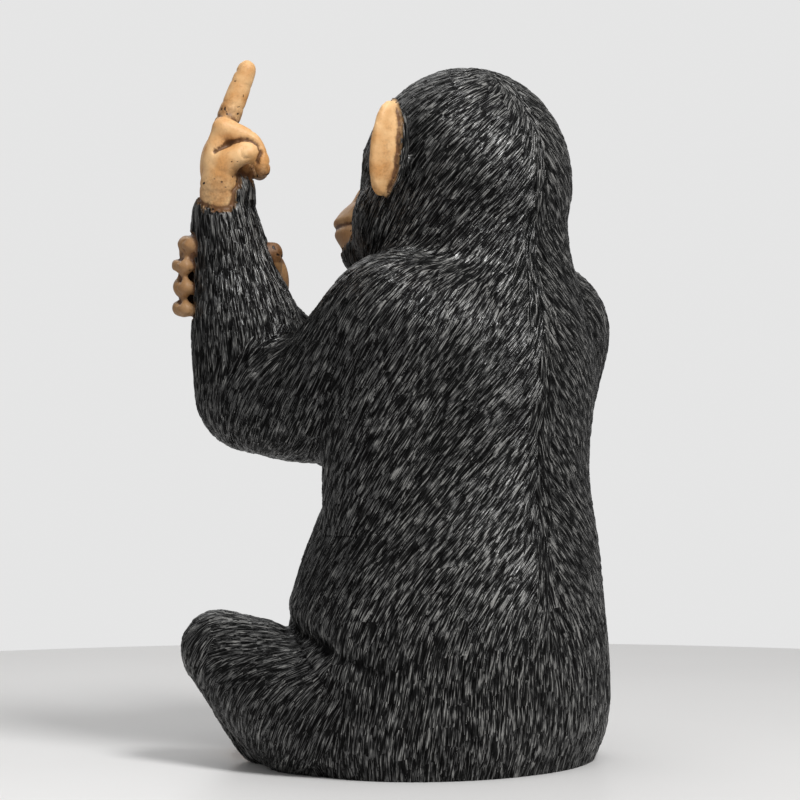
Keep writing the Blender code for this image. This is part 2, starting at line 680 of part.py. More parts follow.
def painted_resin():
    """Black satin paint over resin."""
    material = bpy.data.materials.new("painted_resin")
    material.use_nodes = True
    shader = material.node_tree.nodes["Principled BSDF"]
    shader.inputs["Base Color"].default_value = PAINT
    shader.inputs["Roughness"].default_value = PAINT_ROUGHNESS
    shader.inputs["Metallic"].default_value = 0.0
    return material


def main():
    clear_scene()
    mesh = statue()
    mesh.name = "statue"
    mesh.shade_smooth()
    mesh.materials.clear()
    mesh.materials.append(painted_resin())
    bpy.context.scene.collection.objects.link(bpy.data.objects.new("statue", mesh))


if __name__ == "__main__":
    main()
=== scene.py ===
"""Looks of a garden statue: a seated chimpanzee, cast in one piece of resin and painted by hand.

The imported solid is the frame. One dense skin is worked over the same masses, carved with tufts of fur, given
a face, hands and feet, and painted charcoal black and tan. Metres, +Z up. The statue looks along -Y.
"""

import logging
import math
from dataclasses import dataclass
from enum import Enum
from itertools import product

import bpy
import numpy as np
from mathutils import Matrix


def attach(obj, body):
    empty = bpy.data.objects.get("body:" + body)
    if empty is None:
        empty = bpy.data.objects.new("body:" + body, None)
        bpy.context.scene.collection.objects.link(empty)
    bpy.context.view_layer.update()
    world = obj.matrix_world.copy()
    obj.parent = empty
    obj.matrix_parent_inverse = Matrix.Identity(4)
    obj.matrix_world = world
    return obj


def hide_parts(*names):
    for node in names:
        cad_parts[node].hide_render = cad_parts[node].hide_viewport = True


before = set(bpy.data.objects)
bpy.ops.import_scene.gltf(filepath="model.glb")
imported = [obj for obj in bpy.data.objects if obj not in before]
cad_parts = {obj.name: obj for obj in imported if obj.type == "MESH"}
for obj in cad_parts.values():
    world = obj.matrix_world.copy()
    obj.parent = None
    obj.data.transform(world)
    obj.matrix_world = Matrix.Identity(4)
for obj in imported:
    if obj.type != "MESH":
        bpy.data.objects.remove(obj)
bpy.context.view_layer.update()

LOG = logging.getLogger("statue")
NODE = "statue"
MILLIMETRE = 0.001
UP = np.array((0.0, 0.0, 1.0))
FACEWARD = np.array((1, -1, 1))

# A limb's stations are pairs of centre and radius
Stations = list[tuple[np.ndarray, float]]
Triple = tuple[float, float, float]
Tree = bpy.types.NodeTree
Socket = bpy.types.NodeSocket

# Grain of the clay before and after the details go on, and how far fur stands over the clay
BODY_GRAIN = 0.0020
BODY_SMOOTHING = 22
DETAIL_GRAIN = 0.00175
DETAIL_SMOOTHING = 2
BELOW_GROUND = 0.012
FUR_GROUND = 0.0012
TUFT_RISE = 0.0013
TUFT_CELL = 0.0032
TUFT_HALF_LENGTH = 0.0078
TUFT_HALF_WIDTH = 0.0019

# Patches of painted strokes: each reads the noise at a place of its own
PATCH_CELL = 0.0100
PATCH_HALF_LENGTH = PATCH_CELL * 1.6
PATCH_HALF_WIDTH = PATCH_CELL * 0.8
PATCH_NUMBERS = 97
PATCH_STEP = 3.7

# Rounds of evening: the fur's direction, the edge of bare skin, and the level that hollows are measured from
FLOW_ROUNDS = 3
EDGE_ROUNDS = 12
HOLLOW_ROUNDS = 10
FULL_HOLLOW = 0.40 * MILLIMETRE

# How far from a hand or foot its distance is still measured, and the points round a finger
LIMB_REACH = 0.02
FINGER_COLUMNS = 18


class Cut(Enum):
    """Height of the top of each slab that the skin is parted into, so that no piece is too dense."""

    SEAT = 0.032
    LAP = 0.066
    BELLY = 0.118
    CHEST = 0.178
    SHOULDERS = 0.232
    HEAD = 1.0


def unit(vectors: np.ndarray) -> np.ndarray:
    """Vectors of length one, in the same directions."""
    return vectors / np.maximum(np.linalg.norm(vectors, axis=-1, keepdims=True), 1e-12)


def ramp(values: np.ndarray, start: float, end: float) -> np.ndarray:
    """0 at start and 1 at end, with an even slope at both, also where end is below start."""
    share = np.clip((values - start) / (end - start), 0, 1)
    return share * share * (3 - 2 * share)


def turned(angle: float) -> np.ndarray:
    """A turn about the upright axis. A positive angle carries -Y towards +X."""
    return np.array(Matrix.Rotation(angle, 3, "Z"))


def neighbours(stations: np.ndarray, count: int) -> tuple[np.ndarray, ...]:
    """Count places along the stations: how far each is past a station, and the four stations round it."""
    ends = np.vstack([2 * stations[0] - stations[1], stations, 2 * stations[-1] - stations[-2]])
    along = np.linspace(0, len(stations) - 1, count)
    first = np.minimum(along.astype(int), len(stations) - 2)
    return (along - first)[:, None], *(ends[first + k] for k in range(4))


def smooth_path(stations: np.ndarray, count: int) -> np.ndarray:
    """Rows that run smoothly through the stations.

    Each stretch is the cubic through its two stations whose slope at each is half the step between that
    station's neighbours.

    Args:
        stations: Rows of any numbers, such as a place and a radius.
        count: How many rows come back.

    Returns:
        The rows along the path.
    """
    t, a, b, c, d = neighbours(stations, count)
    return 0.5 * (2 * b + (c - a) * t + (2 * a - 5 * b + 4 * c - d) * t**2 + (3 * b - a - 3 * c + d) * t**3)


def rounded_path(stations: np.ndarray, count: int) -> np.ndarray:
    """Rows that pass near the stations: each the weighted mean of four neighbours, as in a cubic spline.

    Args:
        stations: Rows of any numbers.
        count: How many rows come back.

    Returns:
        The rows along the path.
    """
    t, a, b, c, d = neighbours(stations, count)
    nearer, further = 3 * t**3 - 6 * t**2 + 4, -3 * t**3 + 3 * t**2 + 3 * t + 1
    return ((1 - t) ** 3 * a + nearer * b + further * c + t**3 * d) / 6


def limb_rows(stations: Stations, each: int) -> np.ndarray:
    """Rows of centre and radius along a limb, so many for each of its stations."""
    return smooth_path(np.array([[*centre, radius] for centre, radius in stations]), each * len(stations))


def tapered(stops: list[np.ndarray], radius: float, sizes: tuple[float, ...]) -> Stations:
    """Stations at the stops, each of the radius times its own size."""
    return [(stop, radius * size) for stop, size in zip(stops, sizes)]


@dataclass
class Surface:
    """A closed surface as points and faces."""

    points: np.ndarray
    faces: list[list[int]]


def closed_rings(rings: np.ndarray, first_pole: np.ndarray, last_pole: np.ndarray) -> Surface:
    """A closed surface from rings, each joined to the next, with a point at either end.

    Args:
        rings: Array of shape (rows, columns, 3), counter-clockwise as seen from the last row's end.
        first_pole: The point that closes the first ring.
        last_pole: The point that closes the last ring.

    Returns:
        The surface, with its faces outward.
    """
    rows, columns = rings.shape[:2]
    row, column = np.meshgrid(np.arange(rows - 1), np.arange(columns), indexing="ij")
    here = row * columns + column
    beside = row * columns + (column + 1) % columns
    quads = np.stack([here, beside, beside + columns, here + columns], axis=-1).reshape(-1, 4)
    step = np.arange(columns)
    after = (step + 1) % columns
    top = (rows - 1) * columns
    pole = rows * columns
    low = np.stack([np.full(columns, pole), after, step], axis=-1)
    high = np.stack([np.full(columns, pole + 1), top + step, top + after], axis=-1)
    points = np.vstack([rings.reshape(-1, 3), first_pole, last_pole])
    return Surface(points, quads.tolist() + low.tolist() + high.tolist())


def egg(centre: np.ndarray, radii: Triple, turn: np.ndarray | None = None, rows: int = 24) -> Surface:
    """An ellipsoid: the unit ball's latitudes and longitudes, stretched by three radii, turned and moved.

    Args:
        centre: Its middle.
        radii: Half axes along X, Y and Z before the turn.
        turn: A 3 by 3 turn, or nothing.
        rows: How many circles of latitude. There are twice as many points on each.

    Returns:
        The closed surface.
    """
    latitude = np.linspace(-math.pi / 2, math.pi / 2, rows + 2)[1:-1, None]
    longitude = np.linspace(0, 2 * math.pi, 2 * rows, endpoint=False)[None, :]
    ball = np.stack(
        [
            np.cos(longitude) * np.cos(latitude),
            np.sin(longitude) * np.cos(latitude),
            np.sin(latitude) + 0 * longitude,
        ],
        axis=-1,
    )
    shape = np.eye(3) if turn is None else turn
    stretch = shape @ np.diag(radii)
    pole = stretch @ UP
    return closed_rings(ball @ stretch.T + centre, centre - pole, centre + pole)


def limb(stations: Stations, columns: int = 28) -> Surface:
    """A round limb: a circle of changing radius carried along a smooth path, with half a ball at each end.

    Args:
        stations: Pairs of centre and radius along the limb.
        columns: Points round each circle.

    Returns:
        The closed surface.
    """
    rows = limb_rows(stations, 8)
    centres, radii = rows[:, :3], rows[:, 3]
    along = unit(np.gradient(centres, axis=0))
    reference = np.eye(3)[np.argmin(np.abs(along.mean(axis=0)))]
    side = unit(np.cross(reference, along))
    other = np.cross(along, side)
    bend = np.linspace(-math.pi / 2, 0, 8)[1:-1]
    head = centres[0] + np.outer(np.sin(bend) * radii[0], along[0])
    tail = centres[-1] - np.outer(np.sin(bend[::-1]) * radii[-1], along[-1])
    centres = np.vstack([head, centres, tail])
    around = np.concatenate([np.cos(bend) * radii[0], radii, np.cos(bend[::-1]) * radii[-1]])
    side = np.vstack([np.repeat(side[:1], 6, axis=0), side, np.repeat(side[-1:], 6, axis=0)])
    other = np.vstack([np.repeat(other[:1], 6, axis=0), other, np.repeat(other[-1:], 6, axis=0)])
    angle = np.linspace(0, 2 * math.pi, columns, endpoint=False)[None, :, None]
    circle = np.cos(angle) * side[:, None] + np.sin(angle) * other[:, None]
    rings = centres[:, None] + around[:, None, None] * circle
    first = centres[6] - along[0] * radii[0]
    last = centres[-7] + along[-1] * radii[-1]
    return closed_rings(rings, first, last)


def trunk(sections: np.ndarray) -> Surface:
    """A closed trunk: a level ellipse whose half width, half depth and set-back change smoothly with height.

    Args:
        sections: Rows of height, half width, half depth and set-back.

    Returns:
        The closed surface.
    """
    rows = rounded_path(sections, 12 * len(sections))
    angle = np.linspace(0, 2 * math.pi, 72, endpoint=False)[None, :]
    height, wide, deep, back = (rows[:, k][:, None] for k in range(4))
    rings = np.stack([wide * np.cos(angle), back + deep * np.sin(angle), height + 0 * angle], axis=-1)
    first = np.array((0, rows[0, 3], rows[0, 0]))
    last = np.array((0, rows[-1, 3], rows[-1, 0]))
    return closed_rings(rings, first, last)


def distance_to_limb(points: np.ndarray, stations: Stations, reach: float = math.inf) -> np.ndarray:
    """How far points are outside a limb, as the least distance to its stretches less the radius there.

    Args:
        points: Rows of places.
        stations: The limb's pairs of centre and radius.
        reach: Points further off than this are given this distance.

    Returns:
        One distance a row, below 0 inside.
    """
    rows = limb_rows(stations, 4)
    best = np.full(len(points), reach)
    border = reach + rows[:, 3].max()
    low, high = rows[:, :3].min(axis=0) - border, rows[:, :3].max(axis=0) + border
    near = np.flatnonzero(((points > low) & (points < high)).all(axis=1))
    for start, end in zip(rows[:-1], rows[1:]):
        way = end[:3] - start[:3]
        from_start = points[near] - start[:3]
        share = np.clip(from_start @ way / max(way @ way, 1e-12), 0, 1)
        radius = start[3] + share * (end[3] - start[3])
        away = np.linalg.norm(from_start - share[:, None] * way, axis=1) - radius
        best[near] = np.minimum(best[near], away)
    return best


def distance_to_limbs(points: np.ndarray, limbs: list[Stations]) -> np.ndarray:
    """The least of the distances to several limbs, as far as they are measured."""
    return np.min([distance_to_limb(points, stations, LIMB_REACH) for stations in limbs], axis=0)


def in_scene(item: bpy.types.Object) -> bpy.types.Object:
    """The object, linked into the scene."""
    bpy.context.scene.collection.objects.link(item)
    return item


def taken_mesh(item: bpy.types.Object) -> bpy.types.Mesh:
    """The mesh of an object as its modifiers leave it. The object itself is removed."""
    in_scene(item)
    graph = bpy.context.evaluated_depsgraph_get()
    mesh = bpy.data.meshes.new_from_object(item.evaluated_get(graph))
    bpy.data.objects.remove(item, do_unlink=True)
    return mesh


def fused(surfaces: list[Surface], grain: float, rounds: int) -> Surface:
    """One closed skin round all the surfaces, worked smooth as clay is.

    Args:
        surfaces: Closed surfaces that overlap.
        grain: Size of the skin's faces.
        rounds: Rounds of smoothing.

    Returns:
        The skin, all in quads.
    """
    starts = np.cumsum([0] + [len(surface.points) for surface in surfaces])
    faces = [[k + start for k in face] for surface, start in zip(surfaces, starts) for face in surface.faces]
    mesh = bpy.data.meshes.new("clay")
    mesh.from_pydata(np.vstack([surface.points for surface in surfaces]).tolist(), [], faces)
    item = bpy.data.objects.new("clay", mesh)
    skin = item.modifiers.new("One skin", "REMESH")
    skin.mode = "VOXEL"
    skin.voxel_size = grain
    skin.adaptivity = 0
    smooth = item.modifiers.new("Smooth skin", "SMOOTH")
    smooth.factor = 0.5
    smooth.iterations = rounds
    worked = taken_mesh(item)
    points = np.empty(len(worked.vertices) * 3)
    worked.vertices.foreach_get("co", points)
    corners = np.empty(len(worked.loops), dtype=np.int32)
    worked.loops.foreach_get("vertex_index", corners)
    bpy.data.meshes.remove(worked)
    bpy.data.meshes.remove(mesh)
    return Surface(points.reshape(-1, 3), corners.reshape(-1, 4).tolist())


class Skin:
    """The dense skin as whole arrays, with the means to carve it."""

    def __init__(self, points: np.ndarray, faces: np.ndarray) -> None:
        """Takes points and quads."""
        self.points = points
        self.faces = faces
        self.bare = np.zeros(len(points))
        self.darker_tan = np.zeros(len(points))
        # The crest value also carries a painted highlight where it faces the key light. The hollow and soil
        # values also carry painted shade.
        self.crest = np.zeros(len(points))
        self.hollow_shade = np.zeros(len(points))
        self.soil_and_shade = np.zeros(len(points))

    def gathered(self, values: np.ndarray) -> np.ndarray:
        """Each vertex's sum of rows that are given once a face corner."""
        places = self.faces.ravel()
        columns = [np.bincount(places, values[:, k], len(self.points)) for k in range(values.shape[1])]
        return np.stack(columns, axis=1)

    def normals(self) -> np.ndarray:
        """Each vertex's normal: the sum of its faces' cross products of diagonals, at length one."""
        a, b, c, d = (self.points[self.faces[:, k]] for k in range(4))
        return unit(self.gathered(np.repeat(np.cross(c - a, d - b), 4, axis=0)))

    def denser(self, carried: np.ndarray) -> tuple["Skin", np.ndarray]:
        """The skin with each quad parted in four, by the rules of Catmull and Clark.

        A face gives the mean F of its corners. An edge gives the mean of its middle and of its faces' F. A
        corner P with n faces moves to (Q + 2 R + (n - 3) P) / n, where Q is the mean of F, and R of the
        edges' middles.

        Args:
            carried: One row a vertex, to be carried along.

        Returns:
            The denser skin and the carried rows, one for each of its vertices.
        """
        count = len(self.points)
        ends = np.sort(np.stack([self.faces, np.roll(self.faces, -1, axis=1)], axis=2).reshape(-1, 2), axis=1)
        keys, number = np.unique(ends[:, 0].astype(np.int64) * count + ends[:, 1], return_inverse=True)
        ends = np.stack([keys // count, keys % count], axis=1)
        middle = self.points[ends].mean(axis=1)
        centre = self.points[self.faces].mean(axis=1)
        spread = np.repeat(centre, 4, axis=0)
        faces_at = np.stack([np.bincount(number, spread[:, k]) for k in range(3)], axis=1)
        on_edges = (middle + faces_at / np.bincount(number)[:, None]) / 2
        valence = np.bincount(self.faces.ravel(), minlength=count)[:, None]
        at_corners = middle[number].reshape(-1, 4, 3)
        both = (at_corners + np.roll(at_corners, 1, axis=1)) / 2
        total = self.gathered(spread) + 2 * self.gathered(both.reshape(-1, 3))
        moved = (total / valence + (valence - 3) * self.points) / valence
        edge = (count + number).reshape(-1, 4)
        inner = np.repeat(count + len(keys) + np.arange(len(self.faces))[:, None], 4, axis=1)
        quads = np.stack([self.faces, edge, inner, np.roll(edge, 1, axis=1)], axis=2).reshape(-1, 4)
        rows = np.vstack([carried, carried[ends].mean(axis=1), carried[self.faces].mean(axis=1)])
        return Skin(np.vstack([moved, on_edges, centre]), quads), rows

    def spread(self, values: np.ndarray, rounds: int) -> np.ndarray:
        """Values evened out over the skin: each round, a vertex takes the mean over its faces.

        Args:
            values: One row a vertex.
            rounds: How often.

        Returns:
            The evened rows.
        """
        share = 1 / np.maximum(np.bincount(self.faces.ravel(), minlength=len(self.points)), 1)
        for _ in range(rounds):
            means = values[self.faces].mean(axis=1)
            values = self.gathered(np.repeat(means, 4, axis=0)) * share[:, None]
        return values

    def press(self, centre: np.ndarray, reach: np.ndarray, turn: np.ndarray, push: np.ndarray) -> None:
        """Pushes the skin near a point. The push is full there and fades to nothing at the reach.

        Args:
            centre: The point.
            reach: How far the push goes along each of the turned axes.
            turn: The axes, as columns.
            push: The push at the point.
        """
        near = np.flatnonzero(np.abs(self.points - centre).max(axis=1) < max(reach))
        away = (self.points[near] - centre) @ turn / reach
        share = np.clip(1 - (away**2).sum(axis=1), 0, 1) ** 2
        self.points[near] += share[:, None] * push

    def nearest(self, path: np.ndarray) -> np.ndarray:
        """The skin's vertex nearest to each place."""
        return np.array([self.points[np.argmin(((self.points - place) ** 2).sum(axis=1))] for place in path])

    def groove(
        self, path: np.ndarray, half_width: float, push: float, facing: np.ndarray | None = None
    ) -> None:
        """Carves a groove along a path, or raises a ridge if the push is above 0.

        The push along the normal falls off with the distance to the path as a bell does.

        Args:
            path: Places along it.
            half_width: Distance at which it has faded.
            push: Height of the ridge, or minus the groove's depth.
            facing: If given, only skin that faces this way is pushed.
        """
        low, high = path.min(axis=0) - half_width, path.max(axis=0) + half_width
        near = np.flatnonzero(((self.points > low) & (self.points < high)).all(axis=1))
        if not len(near):
            return
        away = distance_to_limb(self.points[near], [(place, 0.0) for place in path])
        share = np.exp(-4 * (away / half_width) ** 2) * (away < half_width)
        normals = self.normals()[near]
        if facing is not None:
            share = share * np.clip(2 * normals @ facing, 0, 1)
        self.points[near] += (share * push)[:, None] * normals


@dataclass(frozen=True)
class Torso:
    """Seat, belly, chest and neck, and the masses of the shoulders."""

    seat: tuple[float, float] = (0.078, 0.061)
    rump_height: float = 0.014
    hip: Triple = (0.045, 0.088, 0.0705)
    belly: Triple = (0.078, 0.0845, 0.0650)
    midriff: Triple = (0.107, 0.0775, 0.0604)
    waist: Triple = (0.137, 0.0685, 0.0480)
    chest: Triple = (0.172, 0.068, 0.0530)
    nape: Triple = (0.236, 0.0490, 0.0424)
    back_set: float = 0.0135
    head_set: float = 0.012
    head_height: float = 0.273
    flank_half_span: float = 0.051
    flank_radius: float = 0.025
    shoulder_height: float = 0.203
    shoulder_half_span: float = 0.0545
    shoulder_radius: float = 0.0350
    blade_half_span: float = 0.040
    blade_set: float = 0.0088
    blade_radius: float = 0.0340
    blade_low_half_span: float = 0.030
    blade_low_height: float = 0.155
    blade_low_radius: float = 0.0260

    def shoulder(self, side: int) -> np.ndarray:
        """The middle of a shoulder."""
        return np.array((side * self.shoulder_half_span, self.back_set, self.shoulder_height))

    def sections(self) -> np.ndarray:
        """The trunk's level ellipses as rows of height, half width, half depth and set-back."""
        back = self.back_set
        rows = [
            (-BELOW_GROUND, *self.seat, 0),
            (0, *self.seat, 0),
            (self.rump_height, *self.hip[1:], 0),
            (*self.hip, 0),
            (*self.belly, back * 0.10),
            (*self.midriff, back * 0.40),
            (*self.waist, back * 0.78),
            (*self.chest, back),
            (self.shoulder_height, *self.chest[1:], back),
            (*self.nape, back),
            (self.head_height, *self.nape[1:], self.head_set),
        ]
        return np.array(rows)

    def distance(self, points: np.ndarray) -> np.ndarray:
        """How far points are outside the trunk, measured level from its middle."""
        rows = rounded_path(self.sections(), 60)
        wide, deep, back = (np.interp(points[:, 2], rows[:, 0], rows[:, k]) for k in (1, 2, 3))
        return (np.hypot(points[:, 0] / wide, (points[:, 1] - back) / deep) - 1) * np.minimum(wide, deep)

    def surfaces(self) -> list[Surface]:
        """The trunk, and the masses from each shoulder down the flank, to the blade and into the nape."""
        back = self.back_set
        forms = [trunk(self.sections())]
        nape = np.array((0, back, self.nape[0]))
        for side in (-1, 1):
            start = self.shoulder(side)
            flank = np.array((side * self.flank_half_span, 0, self.midriff[0]))
            forms.append(limb([(start, self.shoulder_radius), (flank, self.flank_radius)]))
            forms.append(limb([(start, self.shoulder_radius * 0.8), (nape, self.nape[2] * 0.7)]))
            high = np.array((side * self.blade_half_span, back + self.blade_set, self.shoulder_height))
            low = (side * self.blade_low_half_span, back + self.blade_set * 1.5, self.blade_low_height)
            forms.append(limb([(high, self.blade_radius), (np.array(low), self.blade_low_radius)]))
        return forms


@dataclass(frozen=True)
class Head:
    """Skull, brow, muzzle, jaw, nose and ears. Places are given from the middle of the skull."""

    centre: Triple = (0, 0.012, 0.273)
    turn: float = math.radians(4)
    skull: Triple = (0.0492, 0.0477, 0.0527)
    brow_half_width: float = 0.028
    brow_radius: float = 0.0068
    brow_rise: float = 0.014
    muzzle_length: float = 0.0722
    muzzle_half_width: float = 0.0245
    muzzle_half_height: float = 0.0165
    muzzle_drop: float = 0.0200
    jaw_half_width: float = 0.032
    jaw_half_height: float = 0.019
    jaw_drop: float = 0.0300
    chin_set: float = 0.0074
    cheek_radius: float = 0.027
    eye_spacing: float = 0.026
    eye_radius: float = 0.0064
    eye_rise: float = 0.0005
    socket_depth: float = 0.0045
    nose_half_width: float = 0.0085
    ear_rise: float = 0.0128
    ear_ahead: float = 0.0040
    ear_half_height: float = 0.0198
    ear_half_width: float = 0.0082
    ear_offset: float = 0.0108
    ear_thickness: float = 0.0052
    ear_back_depth: float = 0.0038
    ear_rim_radius: float = 0.0026
    ear_sweep: float = math.radians(-4)
    ear_tilt: float = math.radians(3)
    ear_recline: float = math.radians(9.5)

    def at(self, across: float, ahead: float, above: float) -> np.ndarray:
        """A place to the left, towards the face and up from the skull's middle."""
        return np.array(self.centre) + turned(self.turn) @ np.array((across, -ahead, above))

    def own(self, points: np.ndarray, centre: np.ndarray) -> np.ndarray:
        """Places in the head's own directions from a centre: to the left, towards the face, and up."""
        return (points - centre) @ turned(self.turn) * FACEWARD

    def eye(self, side: int) -> np.ndarray:
        """The middle of an eyeball."""
        ahead = self.skull[1] - self.eye_radius + self.socket_depth * 0.25
        return self.at(side * self.eye_spacing / 2, ahead, self.eye_rise)

    def surfaces(self) -> list[Surface]:
        """The masses of the head without the ears."""
        turn = turned(self.turn)
        deep = self.skull[1]
        muzzle_depth = self.muzzle_length - deep + 0.004
        jaw_depth = self.muzzle_length / 2
        muzzle = self.at(0, self.muzzle_length - muzzle_depth, -self.muzzle_drop)
        jaw = self.at(0, self.muzzle_length - jaw_depth - self.chin_set, -self.jaw_drop)
        brow_end = (deep - 0.016, self.brow_rise - 0.003)
        brow = [
            (self.at(-self.brow_half_width, *brow_end), self.brow_radius * 0.8),
            (self.at(0, deep - 0.001, self.brow_rise), self.brow_radius),
            (self.at(self.brow_half_width, *brow_end), self.brow_radius * 0.8),
        ]
        forms = [
            egg(np.array(self.centre), self.skull, turn),
            egg(muzzle, (self.muzzle_half_width, muzzle_depth, self.muzzle_half_height), turn),
            egg(jaw, (self.jaw_half_width, jaw_depth, self.jaw_half_height), turn),
            egg(self.at(0, deep + 0.003, -0.005), (self.nose_half_width, 0.012, 0.009), turn),
            limb(brow),
        ]
        for side in (-1, 1):
            cheek = self.at(side * (self.skull[0] - self.cheek_radius), 0.016, -self.muzzle_drop)
            forms.append(egg(cheek, (self.cheek_radius,) * 3))
        return forms

    def ear_frame(self, side: int) -> tuple[np.ndarray, np.ndarray]:
        """The middle of an ear and the turn of its own directions."""
        recline = Matrix.Rotation(-self.ear_recline, 3, "X")
        tilt = np.array(Matrix.Rotation(side * self.ear_tilt, 3, "Y") @ recline)
        turn = turned(self.turn + side * self.ear_sweep) @ tilt
        root = self.at(side * self.skull[0], self.ear_ahead, self.ear_rise)
        return root + turn @ np.array((side * self.ear_offset, 0, 0)), turn

    def ear(self, side: int) -> list[Surface]:
        """A thin shell with a rolled rim round its front, and rounded where it grows from the head."""
        middle, turn = self.ear_frame(side)
        wide, high = self.ear_half_width, self.ear_half_height
        forms = [egg(middle, (wide, self.ear_thickness / 2, high), turn)]
        behind = middle + turn @ np.array((-side * wide * 0.35, self.ear_back_depth * 0.3, 0))
        forms.append(egg(behind, (wide * 0.80, self.ear_back_depth, high * 0.85), turn))
        angle = np.radians(np.arange(-100, 101, 25))
        lean = np.full(len(angle), -self.ear_rim_radius * 0.6)
        rim = np.stack([side * wide * np.cos(angle), lean, high * np.sin(angle)], axis=1) @ turn.T + middle
        forms.append(limb([(place, self.ear_rim_radius) for place in rim], columns=16))
        return forms


@dataclass(frozen=True)
class LeftArm:
    """The upper arm, the upright forearm and the hand with its raised finger."""

    torso: Torso
    upper_radius: float = 0.0297
    upper_sag: float = 0.0150
    elbow_radius: float = 0.0272
    elbow: Triple = (0.0585, -0.0685, 0.1748)
    length: float = 0.092
    lean: float = math.radians(8.5)
    forearm_radius: float = 0.0214
    cuff_radius: float = 0.0144
    cuff_bow: float = 0.0026
    wrist_radius: float = 0.0118
    hand_turn: float = math.radians(37)
    palm_length: float = 0.034
    palm_half_width: float = 0.0128
    palm_half_thickness: float = 0.0124
    finger_radius: float = 0.0050
    curled_radius: float = 0.0042
    finger_pitch: float = 0.0076
    raised_length: float = 0.0284
    raised_lean: float = 0.38
    raised_sizes: tuple[float, ...] = (1.18, 1.12, 1.04, 0.94)
    curled_sizes: tuple[float, ...] = (1.30, 1.08, 0.98, 0.92)
    curl: tuple[tuple[float, float], ...] = (
        (-0.0012, 0.0324),
        (0.0114, 0.0268),
        (0.0162, 0.0190),
        (0.0175, 0.0128),
    )
    thumb: tuple[tuple[float, float, float, float], ...] = (
        (0.0030, -0.0020, -0.0040, 0.0104),
        (0.0080, -0.0030, 0.0070, 0.0092),
        (0.0122, -0.0005, 0.0150, 0.0069),
        (0.0148, 0.0058, 0.0188, 0.0054),
        (0.0152, 0.0106, 0.0204, 0.0047),
    )
    thumb_radius: float = 0.0056

    @property
    def axes(self) -> np.ndarray:
        """Directions towards the thumb, towards what the palm faces, and up, as columns."""
        return turned(self.hand_turn)

    @property
    def axis(self) -> np.ndarray:
        """The forearm's direction, from the elbow to the wrist."""
        return UP * math.cos(self.lean) - self.axes[:, 1] * math.sin(self.lean)

    @property
    def wrist(self) -> np.ndarray:
        """The middle of the wrist."""
        return np.array(self.elbow) + self.axis * self.length

    def at(self, across: float, in_front: float, above: float) -> np.ndarray:
        """A place given from the wrist: towards the thumb, in front of the palm, and up."""
        return self.wrist + self.axes @ np.array((across, in_front, above))

    def upper(self) -> Stations:
        """Stations of the upper arm."""
        start, elbow = self.torso.shoulder(1), np.array(self.elbow)
        middle = (start + elbow) / 2 - UP * self.upper_sag
        return [(start, self.torso.shoulder_radius), (middle, self.upper_radius), (elbow, self.elbow_radius)]

    def forearm(self) -> Stations:
        """Stations of the forearm, up to the end of its fur."""
        elbow, way, bow = np.array(self.elbow), self.axis * self.length, self.axes[:, 1] * self.cuff_bow
        return [
            (elbow, self.elbow_radius),
            (elbow + way * 0.35, (self.elbow_radius + self.forearm_radius) / 2),
            (elbow + way * 0.62 - bow / 2, (self.forearm_radius + self.cuff_radius) / 2),
            (elbow + way * 0.90 - bow, self.cuff_radius),
        ]

    def fingers(self) -> list[Stations]:
        """Stations of the four fingers, from the index finger on, and of the thumb."""
        _, palmward, up = self.axes.T
        found = []
        for place in range(4):
            across = (1.5 - place) * self.finger_pitch
            if place == 1:
                knuckle = self.at(across, -0.0005, self.palm_length)
                lean = unit(up + palmward * self.raised_lean) * self.raised_length
                stops = [knuckle, knuckle + lean * 0.4, knuckle + lean * 0.75, knuckle + lean]
                found.append(tapered(stops, self.finger_radius, self.raised_sizes))
            else:
                shrink = 1 - 0.05 * place
                stops = [self.at(across, ahead * shrink, above) for ahead, above in self.curl]
                found.append(tapered(stops, self.curled_radius, self.curled_sizes))
        return [*found, [(self.at(*row[:3]), row[3]) for row in self.thumb]]

    def bones(self) -> list[Stations]:
        """Stations of the wrist and of the back of the hand, one row to each knuckle."""
        radius = self.finger_radius
        rows = [[(self.at(0, 0, -0.024), self.wrist_radius), (self.at(0, 0, 0.004), self.wrist_radius)]]
        for place in range(4):
            across = (1.5 - place) * self.finger_pitch
            knuckle = self.at(across * 0.95, -0.0015, self.palm_length - 0.0015)
            back = self.at(across * 0.9, -0.006, self.palm_length * 0.5)
            rows.append([(self.at(across * 0.6, -0.002, 0), radius), (back, radius), (knuckle, radius * 0.9)])
        return rows

    def hand(self) -> list[Surface]:
        """The hand's surfaces."""
        radii = (self.palm_half_width, self.palm_half_thickness, self.palm_length * 0.54)
        palm = egg(self.at(-0.003, -0.0006, self.palm_length * 0.45), radii, self.axes)
        return [palm, *[limb(row, columns=FINGER_COLUMNS) for row in self.bones() + self.fingers()]]


